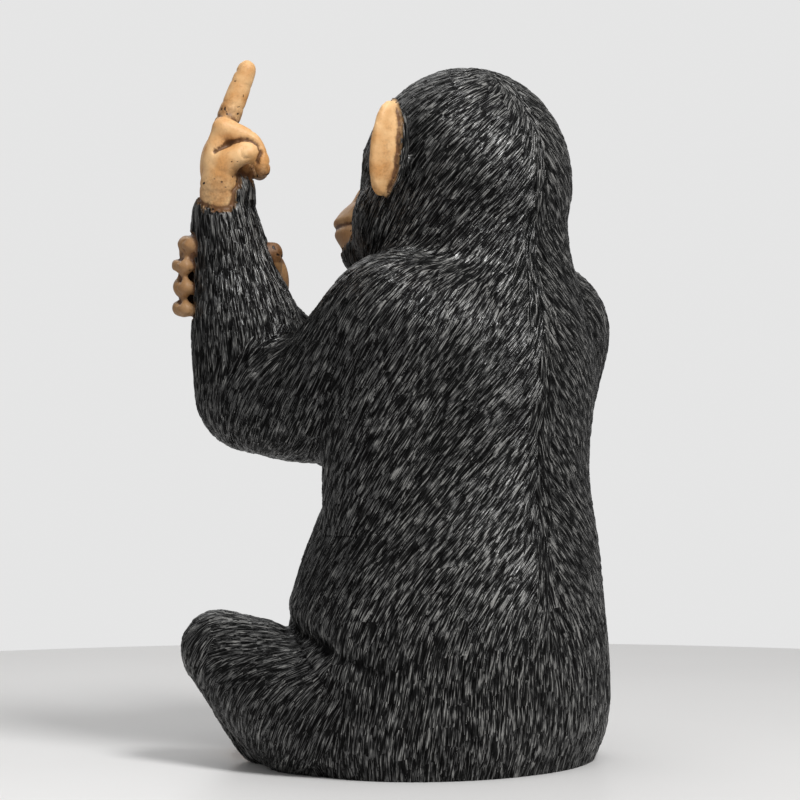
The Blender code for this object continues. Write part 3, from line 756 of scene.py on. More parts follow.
@dataclass(frozen=True)
class RightArm:
    """The arm that crosses the chest, and the hand that holds the left forearm."""

    torso: Torso
    left: LeftArm
    elbow: Triple = (-0.025, -0.083, 0.1620)
    elbow_radius: float = 0.0245
    forearm_radius: float = 0.0190
    grip_height: float = 0.056
    finger_pitch: float = 0.0100
    lifts: tuple[float, ...] = (0.0062, 0.0088, 0.0084, 0.0086)
    palm_to_wrist: float = 0.031
    palm_radii: Triple = (0.0105, 0.0160, 0.0195)
    finger_share: float = 0.89
    finger_sizes: tuple[float, ...] = (1.16, 1.06, 1.00, 0.90)

    @property
    def hold(self) -> float:
        """How far the hand's parts are from the middle of the forearm that it holds."""
        return (self.left.forearm_radius + self.left.cuff_radius) / 2

    @property
    def grip(self) -> np.ndarray:
        """The middle of the left forearm where the hand holds it."""
        return np.array(self.left.elbow) + self.left.axis * self.grip_height

    @property
    def wrist(self) -> np.ndarray:
        """The middle of the right wrist."""
        thumbward, palmward, up = self.left.axes.T
        return self.grip + (palmward * 0.5 - thumbward - up * 0.75) * self.palm_to_wrist

    def at(self, inward: float, behind: float, above: float) -> np.ndarray:
        """A place given from the grip: towards the face, away from the left thumb's side, and up."""
        return self.grip + self.left.axes @ np.array((-behind, inward, above))

    def upper(self) -> Stations:
        """Stations of the upper arm."""
        start, elbow = self.torso.shoulder(-1), np.array(self.elbow)
        middle = ((start + elbow) / 2, self.left.upper_radius * 0.95)
        return [(start, self.torso.shoulder_radius), middle, (elbow, self.elbow_radius)]

    def forearm(self) -> Stations:
        """Stations of the forearm."""
        elbow = np.array(self.elbow)
        middle = ((elbow + self.wrist) / 2, self.forearm_radius)
        return [(elbow, self.elbow_radius), middle, (self.wrist, self.left.cuff_radius * 0.92)]

    def fingers(self) -> list[Stations]:
        """Stations of the wrist, the four fingers and the thumb."""
        hold, thick, wrist = self.hold, self.left.thumb_radius, self.left.wrist_radius
        rows = [[(self.wrist, wrist), (self.at(0.012, hold + 0.004, -0.010), wrist * 0.95)]]
        for place in range(4):
            above = (1.45 - place) * self.finger_pitch
            stops = [
                self.at(-0.001, hold + 0.0065, above * 0.88 - 0.001),
                self.at(-hold * 0.66, hold * 0.80 + 0.0042, above * 0.96),
                self.at(-hold - self.lifts[place], hold * 0.25, above),
                self.at(-hold - self.lifts[place] + 0.002, -hold * 0.25, above - 0.001),
            ]
            rows.append(tapered(stops, self.left.finger_radius * self.finger_share, self.finger_sizes))
        rows.append(
            [
                (self.at(hold - 0.007, 0.021, -0.018), thick * 1.2),
                (self.at(hold - 0.002, 0.012, -0.007), thick * 0.95),
                (self.at(hold - 0.0022, 0.006, 0.002), thick * 0.92),
                (self.at(hold - 0.0020, 0.003, 0.0105), thick * 0.96),
            ]
        )
        return rows

    def hand(self) -> list[Surface]:
        """The hand's surfaces."""
        palm = egg(self.palm, self.palm_radii, self.left.axes)
        radius, bones = self.left.finger_radius, []
        for row in self.fingers()[1:5]:
            root = self.at(0.018, self.hold + 0.0065, (row[0][0] - self.grip)[2] * 0.55 - 0.007)
            bones.append([(root, radius), (row[0][0], radius)])
        return [palm, *[limb(row, columns=FINGER_COLUMNS) for row in self.fingers() + bones]]

    @property
    def palm(self) -> np.ndarray:
        """The middle of the palm."""
        return self.at(0.0075, self.hold + 0.002, -0.003)


@dataclass(frozen=True)
class Leg:
    """A thigh along the ground, a raised knee, a folded shin and the foot."""

    side: int
    hip: Triple = (0.047, 0.012, 0.030)
    thigh_radius: float = 0.0365
    thigh_sag: float = 0.011
    knee: Triple = (0.0750, -0.0763, 0.0546)
    knee_radius: float = 0.0172
    calf_height: float = 0.020
    calf_radius: float = 0.0265
    shin_radius: float = 0.0196
    ankle: Triple = (0.054, -0.0665, 0.0135)
    ankle_radius: float = 0.0182
    foot_length: float = 0.046
    foot_half_width: float = 0.0135
    foot_half_height: float = 0.0105
    toe_radius: float = 0.0046
    toe_length: float = 0.014
    foot_turn: float = math.radians(48)

    def placed(self, place: Triple) -> np.ndarray:
        """A place of the left leg, carried to this leg's side."""
        return np.array(place) * np.array((self.side, 1, 1))

    def thigh(self) -> Stations:
        """Stations of the thigh."""
        hip, knee = self.placed(self.hip), self.placed(self.knee)
        middle = (hip + knee) / 2 - UP * self.thigh_sag
        return [(hip, self.thigh_radius), (middle, self.thigh_radius * 0.95), (knee, self.knee_radius)]

    def shin(self) -> Stations:
        """Stations of the shin."""
        knee, ankle = self.placed(self.knee), self.placed(self.ankle)
        return [(knee, self.knee_radius), ((knee + ankle) / 2, self.shin_radius), (ankle, self.ankle_radius)]

    def surfaces(self) -> list[Surface]:
        """Thigh, shin and the calf beneath them."""
        hip, knee, ankle = self.placed(self.hip), self.placed(self.knee), self.placed(self.ankle)
        middle = (hip + knee) / 2
        calf = np.array((middle[0], middle[1], self.calf_height))
        under = limb([(calf, self.calf_radius), (ankle, self.ankle_radius)])
        return [limb(self.thigh()), limb(self.shin()), under]

    @property
    def foot_axes(self) -> np.ndarray:
        """Directions across the foot, along it and up, as columns."""
        along = turned(-self.side * self.foot_turn) @ np.array((0, -1.0, 0))
        across = unit(np.cross(UP, along)) * self.side
        return np.stack([across, along, UP], axis=1)

    @property
    def heel(self) -> np.ndarray:
        """The middle of the foot's back end."""
        return self.placed((self.ankle[0], self.ankle[1], self.foot_half_height))

    @property
    def sole(self) -> tuple[np.ndarray, Triple]:
        """The middle of the foot's oval, and its half axes."""
        middle = self.heel + self.foot_axes[:, 1] * self.foot_length * 0.42
        return middle, (self.foot_half_width, self.foot_length * 0.52, self.foot_half_height)

    def toes(self) -> list[Stations]:
        """Stations of the four toes and the big toe."""
        across, along, up = self.foot_axes.T
        heel, thick, length = self.heel, self.toe_radius, self.toe_length
        rows = []
        for place in range(4):
            root = heel + along * self.foot_length * 0.80 + across * (place - 1.2) * thick * 1.75
            middle = root + along * length * 0.6 + up * 0.0015
            rows.append([(root, thick), (middle, thick), (root + along * length - up * 0.003, thick * 0.9)])
        big = heel + along * self.foot_length * 0.45 - across * self.foot_half_width * 0.8
        out = across * 0.005
        middle, tip = big + along * length * 0.8 - out, big + along * length * 1.5 - out
        return [*rows, [(big, thick * 1.15), (middle, thick * 1.15), (tip, thick)]]

    def foot(self) -> list[Surface]:
        """The foot's surfaces."""
        middle, radii = self.sole
        toes = [limb(row, columns=FINGER_COLUMNS) for row in self.toes()]
        return [egg(middle, radii, self.foot_axes), *toes]


@dataclass
class Laid:
    """Which root each place belongs to, where it lies from that root, and how high it is on the ridge."""

    root: np.ndarray
    along: np.ndarray
    across: np.ndarray
    score: np.ndarray


def laid_out(
    points: np.ndarray, roots: np.ndarray, axes: np.ndarray, cell: float, half: tuple[float, float]
) -> Laid:
    """Gives each place the root whose long narrow oval it lies deepest in.

    A root's oval measures 1 - (along / half length)^2 - (across / half width)^2 - (out / half width)^2. The
    roots are looked up on a grid with at most one in each cell, so whole arrays are tried a neighbour at a
    time.

    Args:
        points: Places on the skin.
        roots: Places of the roots, at most one in each cell.
        axes: Each root's directions along, across and out, as rows of a (count, 3, 3) array.
        cell: Size of a cell.
        half: Half length and half width of an oval.

    Returns:
        The root of each place and its measures.
    """
    low = points.min(axis=0) - 4 * cell
    where = np.floor((points - low) / cell).astype(int)
    shape = tuple(where.max(axis=0) + 5)
    table = np.full(np.prod(shape), -1)
    table[np.ravel_multi_index(np.floor((roots - low) / cell).astype(int).T, shape)] = np.arange(len(roots))
    keys = np.ravel_multi_index(where.T, shape)
    reach = int(math.ceil(half[0] / cell - 0.3))
    along, across = np.zeros((2, len(points)))
    laid = Laid(np.zeros(len(points), int), along, across, np.full(len(points), -9.0))
    scale = 1 / np.array((half[0], half[1], half[1]))
    for offset in product(range(-reach, reach + 1), repeat=3):
        shift = (offset[0] * shape[1] + offset[1]) * shape[2] + offset[2]
        candidate = table[keys + shift]
        tried = np.flatnonzero(candidate >= 0)
        owner = candidate[tried]
        away = np.einsum("nij,nj->ni", axes[owner], points[tried] - roots[owner])
        score = 1 - ((away * scale) ** 2).sum(axis=1)
        better = score > laid.score[tried]
        won = tried[better]
        laid.root[won] = owner[better]
        laid.along[won], laid.across[won] = away[better, 0], away[better, 1]
        laid.score[won] = score[better]
    return laid


def one_in_each_cell(points: np.ndarray, cell: float, dice: np.random.Generator) -> np.ndarray:
    """Rows of points picked at random, one in each cell of a grid that holds any."""
    order = dice.permutation(len(points))
    cells = np.floor((points[order] - points.min(axis=0) + 4 * cell) / cell).astype(int)
    keys = np.ravel_multi_index(cells.T, tuple(cells.max(axis=0) + 1))
    return order[np.unique(keys, return_index=True)[1]]


@dataclass(frozen=True)
class Fur:
    """Which way the fur lies, and how it is carved."""

    torso: Torso
    head: Head
    left: LeftArm
    right: RightArm
    legs: tuple[Leg, Leg]
    seed: int = 11
    parting: float = 0.014
    # Direction of the key light: crests that face it are painted lighter, a painted highlight
    painted_light_from: Triple = (0.15, 0.85, 0.50)

    def flow(self, skin: Skin) -> np.ndarray:
        """The fur's direction along the skin at each vertex.

        Each limb has a direction of its own. A place takes the mean of all, weighted by one over the third
        power of its distance to each. On the trunk and head the fur runs down, and round from the spine
        towards the front. On a forearm it runs from the wrist to the elbow. The result is laid into the skin.
        """
        points = skin.points
        down = -UP
        rows = []
        for axis, parting in self.trunks():
            away = points[:, :2] - axis
            beside = points[:, :1] - parting * ramp(away[:, 1:], -0.01, 0.03)
            around = unit(np.stack([away[:, 1], -away[:, 0]], axis=1) * np.sign(beside))
            around = around * np.minimum(np.abs(beside) / 0.010, 1)
            behind = np.clip(0.55 + 0.45 * unit(away)[:, 1:], 0.15, 1)
            rise = ramp(points[:, 2:], 0.030, 0.100)
            rows.append(down + np.hstack([around * behind * rise * 1.1, np.zeros((len(points), 1))]))
        total = np.zeros_like(points)
        head_share = ramp(points[:, 2], 0.225, 0.250)
        spans = [self.trunk_distance(points, 0) + 0.05 * head_share]
        spans.append(self.trunk_distance(points, 1) + 0.05 * (1 - head_share))
        for span, direction in zip(spans, rows):
            total += direction / (np.maximum(span, 0)[:, None] + 0.002) ** 3
        chains = [(self.left.upper()[1:], 0.7, 1.0), (self.right.upper()[1:], 0.7, 1.0)]
        chains += [(self.left.forearm(), -1.0, 0.1), (self.right.forearm(), -1.0, 0.1)]
        for leg in self.legs:
            chains += [(leg.thigh(), 1.0, 0.35), (leg.shin(), 1.0, 0.2)]
        for place, (stations, lengthwise, fall) in enumerate(chains):
            way = unit(stations[-1][0] - stations[0][0])
            span = np.maximum(distance_to_limb(points, stations), 0)[:, None] + 0.002
            droop = fall + (place > 3) * 1.7 * ramp(points[:, 2:], 0.058, 0.018)
            total += (way * lengthwise + down * droop) / span**3
        total = unit(total)
        normals = skin.normals()
        for _ in range(FLOW_ROUNDS):
            total = skin.spread(unit(total - (total * normals).sum(axis=1)[:, None] * normals), FLOW_ROUNDS)
        return total

    def trunks(self) -> Stations:
        """The upright middle lines of torso and head, and how far aside the fur parts behind each."""
        torso = (np.array((0.0, self.torso.back_set * 0.5)), self.parting)
        return [torso, (np.array(self.head.centre[:2]), self.parting * 0.6)]

    def trunk_distance(self, points: np.ndarray, which: int) -> np.ndarray:
        """How far points are outside the torso's upright column, or outside the skull."""
        if which == 1:
            return np.linalg.norm(points - np.array(self.head.centre), axis=1) - self.head.skull[2]
        axis, _ = self.trunks()[0]
        wide = np.interp(points[:, 2], [0, 0.09, 0.14, 0.24], [0.080, 0.080, 0.066, 0.050])
        away = (points[:, :2] - axis) / np.array((1.08, 0.86))
        return np.linalg.norm(away, axis=1) - wide

    def bare_share(self, points: np.ndarray) -> tuple[np.ndarray, np.ndarray, np.ndarray]:
        """How bare each place is (0 in the fur, 1 on skin), how much darker its tan, and how far on an ear."""
        hands = distance_to_limbs(points, self.left.bones()[1:] + self.left.fingers())
        own = (points - self.left.wrist) @ self.left.axes
        line = -0.0060 + 0.0050 * ramp(own[:, 1], -0.004, -0.012) + 0.0145 * ramp(own[:, 1], 0.0030, 0.0064)
        raised = ramp(hands, 0.012, 0.008) * ramp(own[:, 2] - line, -0.0030, 0.0015)
        holding = distance_to_limbs(points, self.right.fingers())
        palm = (points - self.right.palm) @ self.left.axes
        palm = (np.linalg.norm(palm / np.array(self.right.palm_radii), axis=1) - 1) * self.right.palm_radii[0]
        from_wrist = np.linalg.norm(points - self.right.wrist, axis=1)
        grip = ramp(np.minimum(holding, palm), 0.0028, 0.0012) * ramp(from_wrist, 0.012, 0.018)
        parts = []
        for leg in self.legs:
            middle, radii = leg.sole
            from_sole = (points - middle) @ leg.foot_axes
            sole_gap = (np.linalg.norm(from_sole / np.array(radii), axis=1) - 1) * leg.foot_half_height
            forward = (points - leg.heel) @ leg.foot_axes[:, 1]
            parts += [distance_to_limbs(points, leg.toes()), np.where(forward > 0.012, sole_gap, 1.0)]
        feet = ramp(np.min(parts, axis=0), 0.0045, 0.0020)
        ears = np.zeros(len(points))
        for side in (-1, 1):
            middle, turn = self.head.ear_frame(side)
            away = (points - middle) @ turn
            lobe = np.array((self.head.ear_half_width + 0.003, 0.0120, self.head.ear_half_height + 0.004))
            beyond = away[:, 0] * side + self.head.ear_half_width * 0.40 - 0.4 * np.maximum(away[:, 1], 0)
            inside = ramp(np.linalg.norm(away / lobe, axis=1), 1.15, 1.0)
            ears = np.maximum(ears, inside * ramp(beyond, -0.001, 0.002))
        across, ahead, above = self.head.own(points, np.array(self.head.centre)).T
        eyes = np.hypot(across / 0.029, (above - 0.002) / 0.0165)
        mouth = np.hypot(across / 0.031, (above + 0.0165) / 0.0200)
        face = ramp(np.minimum(eyes, mouth), 1.06, 0.94) * ramp(ahead, 0.016, 0.022)
        # The holding hand and the face take a darker, browner tan
        darker_tan = np.maximum(grip * 0.85, face * 0.45)
        return np.max([raised, grip, feet, ears, face], axis=0), darker_tan, ears

    def carve(self, skin: Skin, flow: np.ndarray) -> tuple[np.ndarray, np.ndarray]:
        """Raises tufts on the skin, marks what is bare, and lays out the strokes that the paint follows.

        Args:
            skin: The dense skin.
            flow: The fur's rough direction at each vertex.

        Returns:
            The vertex normals before the tufts were raised, and each face corner's place across and along
            its own patch of strokes, in millimetres, with the patch's own number.
        """
        dice = np.random.default_rng(self.seed)
        normals = skin.normals()
        flow = unit(flow - (flow * normals).sum(axis=1)[:, None] * normals)
        bare, skin.darker_tan, ears = self.bare_share(skin.points)
        axes = np.stack([flow, np.cross(normals, flow), normals], axis=1)
        picked = one_in_each_cell(skin.points, TUFT_CELL, dice)
        size = (TUFT_HALF_LENGTH, TUFT_HALF_WIDTH)
        tufts = laid_out(skin.points, skin.points[picked], axes[picked], TUFT_CELL, size)
        skin.bare = ramp(0.25 * bare + 0.75 * bare[picked][tufts.root], 0.40, 0.60)
        tip = np.clip(tufts.along / TUFT_HALF_LENGTH, -1, 1)
        wedge = np.clip(1 - np.abs(tufts.across) / (TUFT_HALF_WIDTH * (1.05 - 0.35 * tip)), 0, 1)
        crest = np.clip(tufts.score, 0, 1) ** 0.7 * (0.35 + 0.65 * wedge) * (0.72 + 0.28 * tip)
        own = dice.uniform(0.6, 1.15, len(picked))[tufts.root]
        # Painted highlight: crests that face the key light get more grey, over the real dry brush on every
        # crest
        facing = np.clip(normals @ unit(np.array(self.painted_light_from)), 0, 1) ** 1.5
        skin.crest = np.clip(0.80 * crest * own + 0.62 * facing, 0, 1.4) * (1 - skin.bare)
        rise = (FUR_GROUND + TUFT_RISE * crest * own) * (1 - skin.bare)
        skin.points = skin.points + rise[:, None] * normals
        even = skin.spread(skin.bare[:, None], EDGE_ROUNDS)[:, 0]
        # Painted shade, with some brown wash: the shaded side of the left wrist below the palm, the heel of
        # the hand and the raised finger's root are darkened. The tan next to the edge of the fur is soiled
        # darker.
        own = (skin.points - self.left.wrist) @ self.left.axes
        on_hand = (np.abs(own) < 0.03).all(axis=1)
        below_palm = ramp(own[:, 1], 0.001, 0.008) * ramp(own[:, 2], 0.018, 0.010) * on_hand
        (root, _), (joint, _) = self.left.fingers()[1][:2]
        at_root = ramp(np.linalg.norm(skin.points - (root * 0.62 + joint * 0.38), axis=1), 0.010, 0.005)
        heel = ramp(np.abs(own[:, 2] - 0.003), 0.008, 0.003) * ramp(own[:, 1], 0.008, 0.004) * on_hand
        painted_shade_and_wash = np.max([0.85 * below_palm, 0.72 * at_root, 0.36 * heel], axis=0)
        edge = np.clip(1.9 * (1 - even) - 0.12, 0, 1)
        skin.soil_and_shade = np.maximum(edge * (1 - 0.65 * ears), painted_shade_and_wash) * skin.bare
        middles = skin.points[skin.faces].mean(axis=1)
        picked = one_in_each_cell(skin.points, PATCH_CELL, dice)
        size = (PATCH_HALF_LENGTH, PATCH_HALF_WIDTH)
        patches = laid_out(middles, skin.points[picked], axes[picked], PATCH_CELL, size)
        frames = axes[picked][patches.root]
        start = skin.points[picked][patches.root]
        away = skin.points[skin.faces] - start[:, None]
        lengthwise = np.einsum("nkj,nj->nk", away, frames[:, 0]) / MILLIMETRE
        sideways = np.einsum("nkj,nj->nk", away, frames[:, 1]) / MILLIMETRE
        number = np.repeat((patches.root % PATCH_NUMBERS)[:, None] * PATCH_STEP, 4, axis=1)
        return normals, np.stack([sideways, lengthwise, number], axis=2)


@dataclass(frozen=True)
class Sculptor:
    """Carves the features that the clay is too coarse for."""

    torso: Torso
    head: Head
    left: LeftArm
    right: RightArm
    legs: tuple[Leg, Leg]
    fold: tuple[Triple, ...] = (
        (0.056, -0.052, 0.068),
        (0.078, -0.024, 0.063),
        (0.088, 0.004, 0.056),
        (0.084, 0.024, 0.049),
    )
    thumb_rim: tuple[Triple, ...] = (
        (0.0120, -0.0040, 0.0205),
        (0.0130, 0.0030, 0.0248),
        (0.0140, 0.0100, 0.0262),
        (0.0140, 0.0158, 0.0222),
        (0.0140, 0.0150, 0.0164),
    )
    # Wing of the nose, fold beside the mouth and bag under the eye: places, count, half width and push
    face_lines: tuple[tuple[tuple[Triple, ...], int, float, float], ...] = (
        (((0.0088, 0.056, -0.0045), (0.0096, 0.0565, -0.0085), (0.0070, 0.060, -0.0118)), 8, 0.0022, -0.0009),
        (((0.0120, 0.052, -0.0080), (0.0200, 0.050, -0.0130), (0.0262, 0.042, -0.0200)), 10, 0.0030, -0.0009),
        (((0.0050, 0.048, -0.0062), (0.0125, 0.048, -0.0085), (0.0210, 0.043, -0.0060)), 10, 0.0026, -0.0007),
    )
    # Half width and push of a groove
    gap_groove: tuple[float, float] = (0.0024, -0.0017)
    thumb_groove: tuple[float, float] = (0.0020, -0.0014)
    nail_groove: tuple[float, float] = (0.0013, -0.0006)
    # Which stop of a finger has a crease, and how deep it is
    raised_creases: tuple[tuple[float, float], ...] = ((0.34, 0.0005),)
    left_creases: tuple[tuple[float, float], ...] = ((1, 0.0003), (2, 0.0002))
    right_creases: tuple[tuple[float, float], ...] = ((1, 0.0007), (2, 0.0004))
    toe_creases: tuple[tuple[float, float], ...] = ((1, 0.0005),)
    lid_opening: tuple[float, float] = (0.0056, 0.0031)
    lid_power: float = 1.7
    lid_thickness: float = 0.0010
    lid_sink: float = 0.0012

    def face(self, skin: Skin) -> None:
        """Lids round the eyes, nostrils, mouth, lips and the lines of the face."""
        head = self.head
        turn = turned(head.turn) @ np.diag(FACEWARD.astype(float))
        for side in (-1, 1):
            self.lids(skin, side)
            nostril = head.at(side * 0.0046, head.muzzle_length - 0.0125, -head.muzzle_drop * 0.42)
            inward = head.at(0, 0, 0) - head.at(side * 0.2, 1, -0.3)
            skin.press(nostril, np.array((0.0034, 0.010, 0.0026)), turn, unit(inward) * 0.0036)
            for places, count, half_width, push in self.face_lines:
                path = smooth_path(np.array([head.at(side * a, b, c) for a, b, c in places]), count)
                skin.groove(path, half_width, push)
        angle = np.radians(np.linspace(-78, 78, 27))
        across = head.muzzle_half_width * 1.04 * np.sin(angle)
        ahead = head.muzzle_length + 0.001 - 0.030 * (1 - np.cos(angle))
        above = -head.muzzle_drop - 0.0012 + 0.0042 * np.sin(angle) ** 2
        lips = np.array([head.at(*row) for row in zip(across, ahead, above)])
        skin.groove(lips + UP * 0.0036, 0.0044, 0.0016)
        skin.groove(lips - UP * 0.0044, 0.0050, 0.0003)
        skin.groove(lips - UP * 0.0004, 0.0036, -0.0030)

    def lids(self, skin: Skin, side: int) -> None:
        """Wraps the skin round an eyeball and leaves an almond-shaped opening.

        A vertex in front of the eyeball moves in or out from its middle, to just under its surface inside the
        almond |across / 5.6 mm|^1.7 + |up / 3.1 mm|^1.7 = 1, and to a lid's thickness above it outside. The
        move fades further out.
        """
        head = self.head
        centre = head.eye(side)
        own = head.own(skin.points, centre)
        near = np.flatnonzero((np.linalg.norm(own, axis=1) < 0.014) & (own[:, 1] > -0.001))
        across, _, above = own[near].T
        above = above - 0.0005 + 14 * across**2
        (wide, high), power = self.lid_opening, self.lid_power
        almond = (np.abs(across / wide) ** power + np.abs(above / high) ** power) ** (1 / power)
        lid = self.lid_thickness * ramp(almond, 0.88, 1.10) - self.lid_sink * ramp(almond, 1.06, 0.86)
        hold = ramp(almond, 2.3, 1.35)
        away = skin.points[near] - centre
        span = np.linalg.norm(away, axis=1, keepdims=True)
        wanted = away / span * (head.eye_radius + lid)[:, None]
        skin.points[near] += (wanted - away) * hold[:, None]

    def ears(self, skin: Skin) -> None:
        """The bowl of each ear and the fold inside its rim."""
        for side in (-1, 1):
            middle, turn = self.head.ear_frame(side)
            forward = turn @ np.array((0.0, -1.0, 0.0))
            bowl = middle + turn @ np.array((-side * 0.002, -0.001, -0.003))
            skin.press(bowl, np.array((0.0070, 0.0060, 0.0125)), turn, -forward * 0.0016)
            fold = [(0.001, 0.0125), (0.0046, 0.0085), (0.0054, 0.0000), (0.0038, -0.0080), (0.0004, -0.0118)]
            path = np.array([middle + turn @ np.array((side * a, -0.0018, b)) for a, b in fold])
            skin.groove(smooth_path(path, 14), 0.0026, 0.0011, forward)

    def lap(self, skin: Skin) -> None:
        """Opens the creases between belly and thighs: the skin sinks by its distance to both masses."""
        normals = skin.normals()
        for leg in self.legs:
            near = np.flatnonzero((skin.points[:, 0] * leg.side > 0.01) & (skin.points[:, 2] < 0.11))
            from_thigh = distance_to_limb(skin.points[near], leg.thigh(), 0.02)
            gap = np.minimum(from_thigh, self.torso.distance(skin.points[near]))
            skin.points[near] -= (np.clip(gap, 0, 0.005) * 0.9)[:, None] * normals[near]
            fold = [leg.placed(place) for place in self.fold]
            fold = skin.nearest(smooth_path(np.array(fold), 16))
            skin.groove(fold[:9], 0.0105, -0.0040)
            skin.groove(fold[8:], 0.0090, -0.0018)
            skin.groove(fold[:9] + UP * 0.010, 0.0100, 0.0008)

    def hands(self, skin: Skin) -> None:
        """Finger gaps, the thumb's outline, creases over the joints of fingers and toes, and nails."""
        _, palmward, _ = self.left.axes.T
        curled = [row for place, row in enumerate(self.left.fingers()[:4]) if place != 1]
        self.gaps(skin, curled, self.left.at(0, 0, 0.020))
        self.gaps(skin, self.right.fingers()[1:5], self.right.grip)
        tip = smooth_path(np.array([self.left.at(*row) for row in self.thumb_rim]), 18)
        skin.groove(skin.nearest(tip), *self.thumb_groove)
        self.creases(skin, self.left.fingers()[1], self.raised_creases)
        for place, row in enumerate(self.left.fingers()):
            self.creases(skin, row, self.left_creases)
            out = (palmward, -palmward, palmward, palmward, self.left.axes[:, 0])[place]
            self.nail(skin, row, out)
        for row in self.right.fingers()[1:]:
            self.creases(skin, row, self.right_creases)
            self.nail(skin, row, (row[-1][0] - self.right.grip) * np.array((1, 1, 0)))
        for leg in self.legs:
            for row in leg.toes():
                self.creases(skin, row, self.toe_creases)
                self.nail(skin, row, UP)

    def gaps(self, skin: Skin, rows: list[Stations], middle: np.ndarray) -> None:
        """Deepens the gaps between neighbouring fingers, on the side that faces away from a point."""
        for one, other in zip(rows, rows[1:]):
            path = smooth_path(np.array([(a[0] + b[0]) / 2 for a, b in zip(one, other)]), 14)
            out = path - middle
            out[:, 2] *= 0.2
            path = skin.nearest(path + unit(out) * one[0][1] * 0.8)
            skin.groove(path, *self.gap_groove)

    def nail(self, skin: Skin, row: Stations, out: np.ndarray) -> None:
        """Carves a nail: a groove in the shape of a U round the back of a finger's tip.

        Args:
            skin: The dense skin.
            row: The finger's stations.
            out: Rough direction out of the finger's back.
        """
        (before, _), (tip, radius) = row[-2:]
        along = unit(tip - before)
        out = unit(out - along * (out @ along))
        across = np.cross(along, out)
        angle = np.radians(np.linspace(-100, 100, 13))
        sideways, lengthwise = np.sin(angle), -np.cos(angle)
        flat = np.outer(sideways * 0.66, across) + np.outer(lengthwise * 0.75 + 0.2, along)
        path = tip + radius * (flat + np.outer(np.sqrt(1 - (sideways * 0.66) ** 2), out))
        skin.groove(path, *self.nail_groove)

    def creases(self, skin: Skin, row: Stations, places: tuple[tuple[float, float], ...]) -> None:
        """Carves a finger's creases, each given by its stop and its depth."""
        for stop, depth in places:
            self.crease(skin, row, stop, depth)

    def crease(self, skin: Skin, row: Stations, stop: float, depth: float) -> None:
        """Carves a ring round a finger at one of its joints."""
        path = smooth_path(np.array([place for place, _ in row]), 24)
        index = int(stop * 23 / (len(row) - 1))
        along = unit(path[min(index + 1, 23)] - path[max(index - 1, 0)])
        radius = row[int(stop)][1]
        centre = path[index]
        away = skin.points - centre
        near = np.flatnonzero(np.abs(away).max(axis=1) < radius * 1.6)
        offset = away[near] @ along
        span = away[near] - offset[:, None] * along
        wide = np.linalg.norm(span, axis=1, keepdims=True)
        inside = (wide[:, 0] < radius * 1.4) & (wide[:, 0] > radius * 0.5)
        share = np.exp(-((offset / 0.0009) ** 2)) * inside * depth
        skin.points[near] -= span / np.maximum(wide, 1e-9) * share[:, None]


def plain_piece(name: str, surface: Surface) -> bpy.types.Object:
    """An object that holds a closed surface, shaded smooth."""
    mesh = bpy.data.meshes.new(name)
    mesh.from_pydata(surface.points.tolist(), [], surface.faces)
    mesh.shade_smooth()
    return in_scene(bpy.data.objects.new(name, mesh))


@dataclass(frozen=True)
class Eyes:
    """The two painted eyeballs."""

    head: Head

    def build(self) -> list[bpy.types.Object]:
        """One ball for each eye, a hair smaller than the lids lie round."""
        made = []
        for side, name in ((1, "left_eye"), (-1, "right_eye")):
            centre = self.head.eye(side)
            ball = egg(centre, (self.head.eye_radius - 0.0001,) * 3, rows=16)
            item = plain_piece(name, ball)
            own = self.head.own(ball.points, centre)
            layer = item.data.attributes.new("gaze", "FLOAT", "POINT")
            off_axis = np.hypot(own[:, 0], own[:, 2]) + 0.02 * (own[:, 1] < 0)
            layer.data.foreach_set("value", off_axis / MILLIMETRE)
            made.append(item)
        return made


def linear(code: str) -> tuple[float, float, float, float]:
    """An sRGB hex colour as linear red, green, blue and full alpha."""
    parts = [int(code.lstrip("#")[k : k + 2], 16) / 255 for k in (0, 2, 4)]
    return (*[p / 12.92 if p <= 0.04045 else ((p + 0.055) / 1.055) ** 2.4 for p in parts], 1.0)


def node(tree: Tree, kind: str, links: dict | None = None, **settings: object) -> bpy.types.Node:
    """Adds a node with its settings and links.

    Args:
        tree: The tree it goes into.
        kind: The node's type.
        links: For each input, by name or number, the socket or the value that feeds it.
        **settings: Attributes of the node.

    Returns:
        The node.
    """
    made = tree.nodes.new(kind)
    for name, value in settings.items():
        setattr(made, name, value)
    for name, value in (links or {}).items():
        if isinstance(value, Socket):
            tree.links.new(value, made.inputs[name])
        else:
            made.inputs[name].default_value = value
    return made


def shades(tree: Tree, factor: Socket, stops: list[tuple[float, str]]) -> bpy.types.Node:
    """A colour ramp through sRGB hex colours at given places."""
    made = node(tree, "ShaderNodeValToRGB", {"Fac": factor})
    band = made.color_ramp
    for _ in range(len(stops) - 2):
        band.elements.new(0.5)
    for element, (place, code) in zip(band.elements, stops):
        element.position = place
        element.color = linear(code)
    return made


def new_paint(name: str) -> tuple[bpy.types.Material, Tree, bpy.types.Node]:
    """A new material, its tree and its shader."""
    material = bpy.data.materials.new(name)
    material.use_nodes = True
    return material, material.node_tree, material.node_tree.nodes["Principled BSDF"]


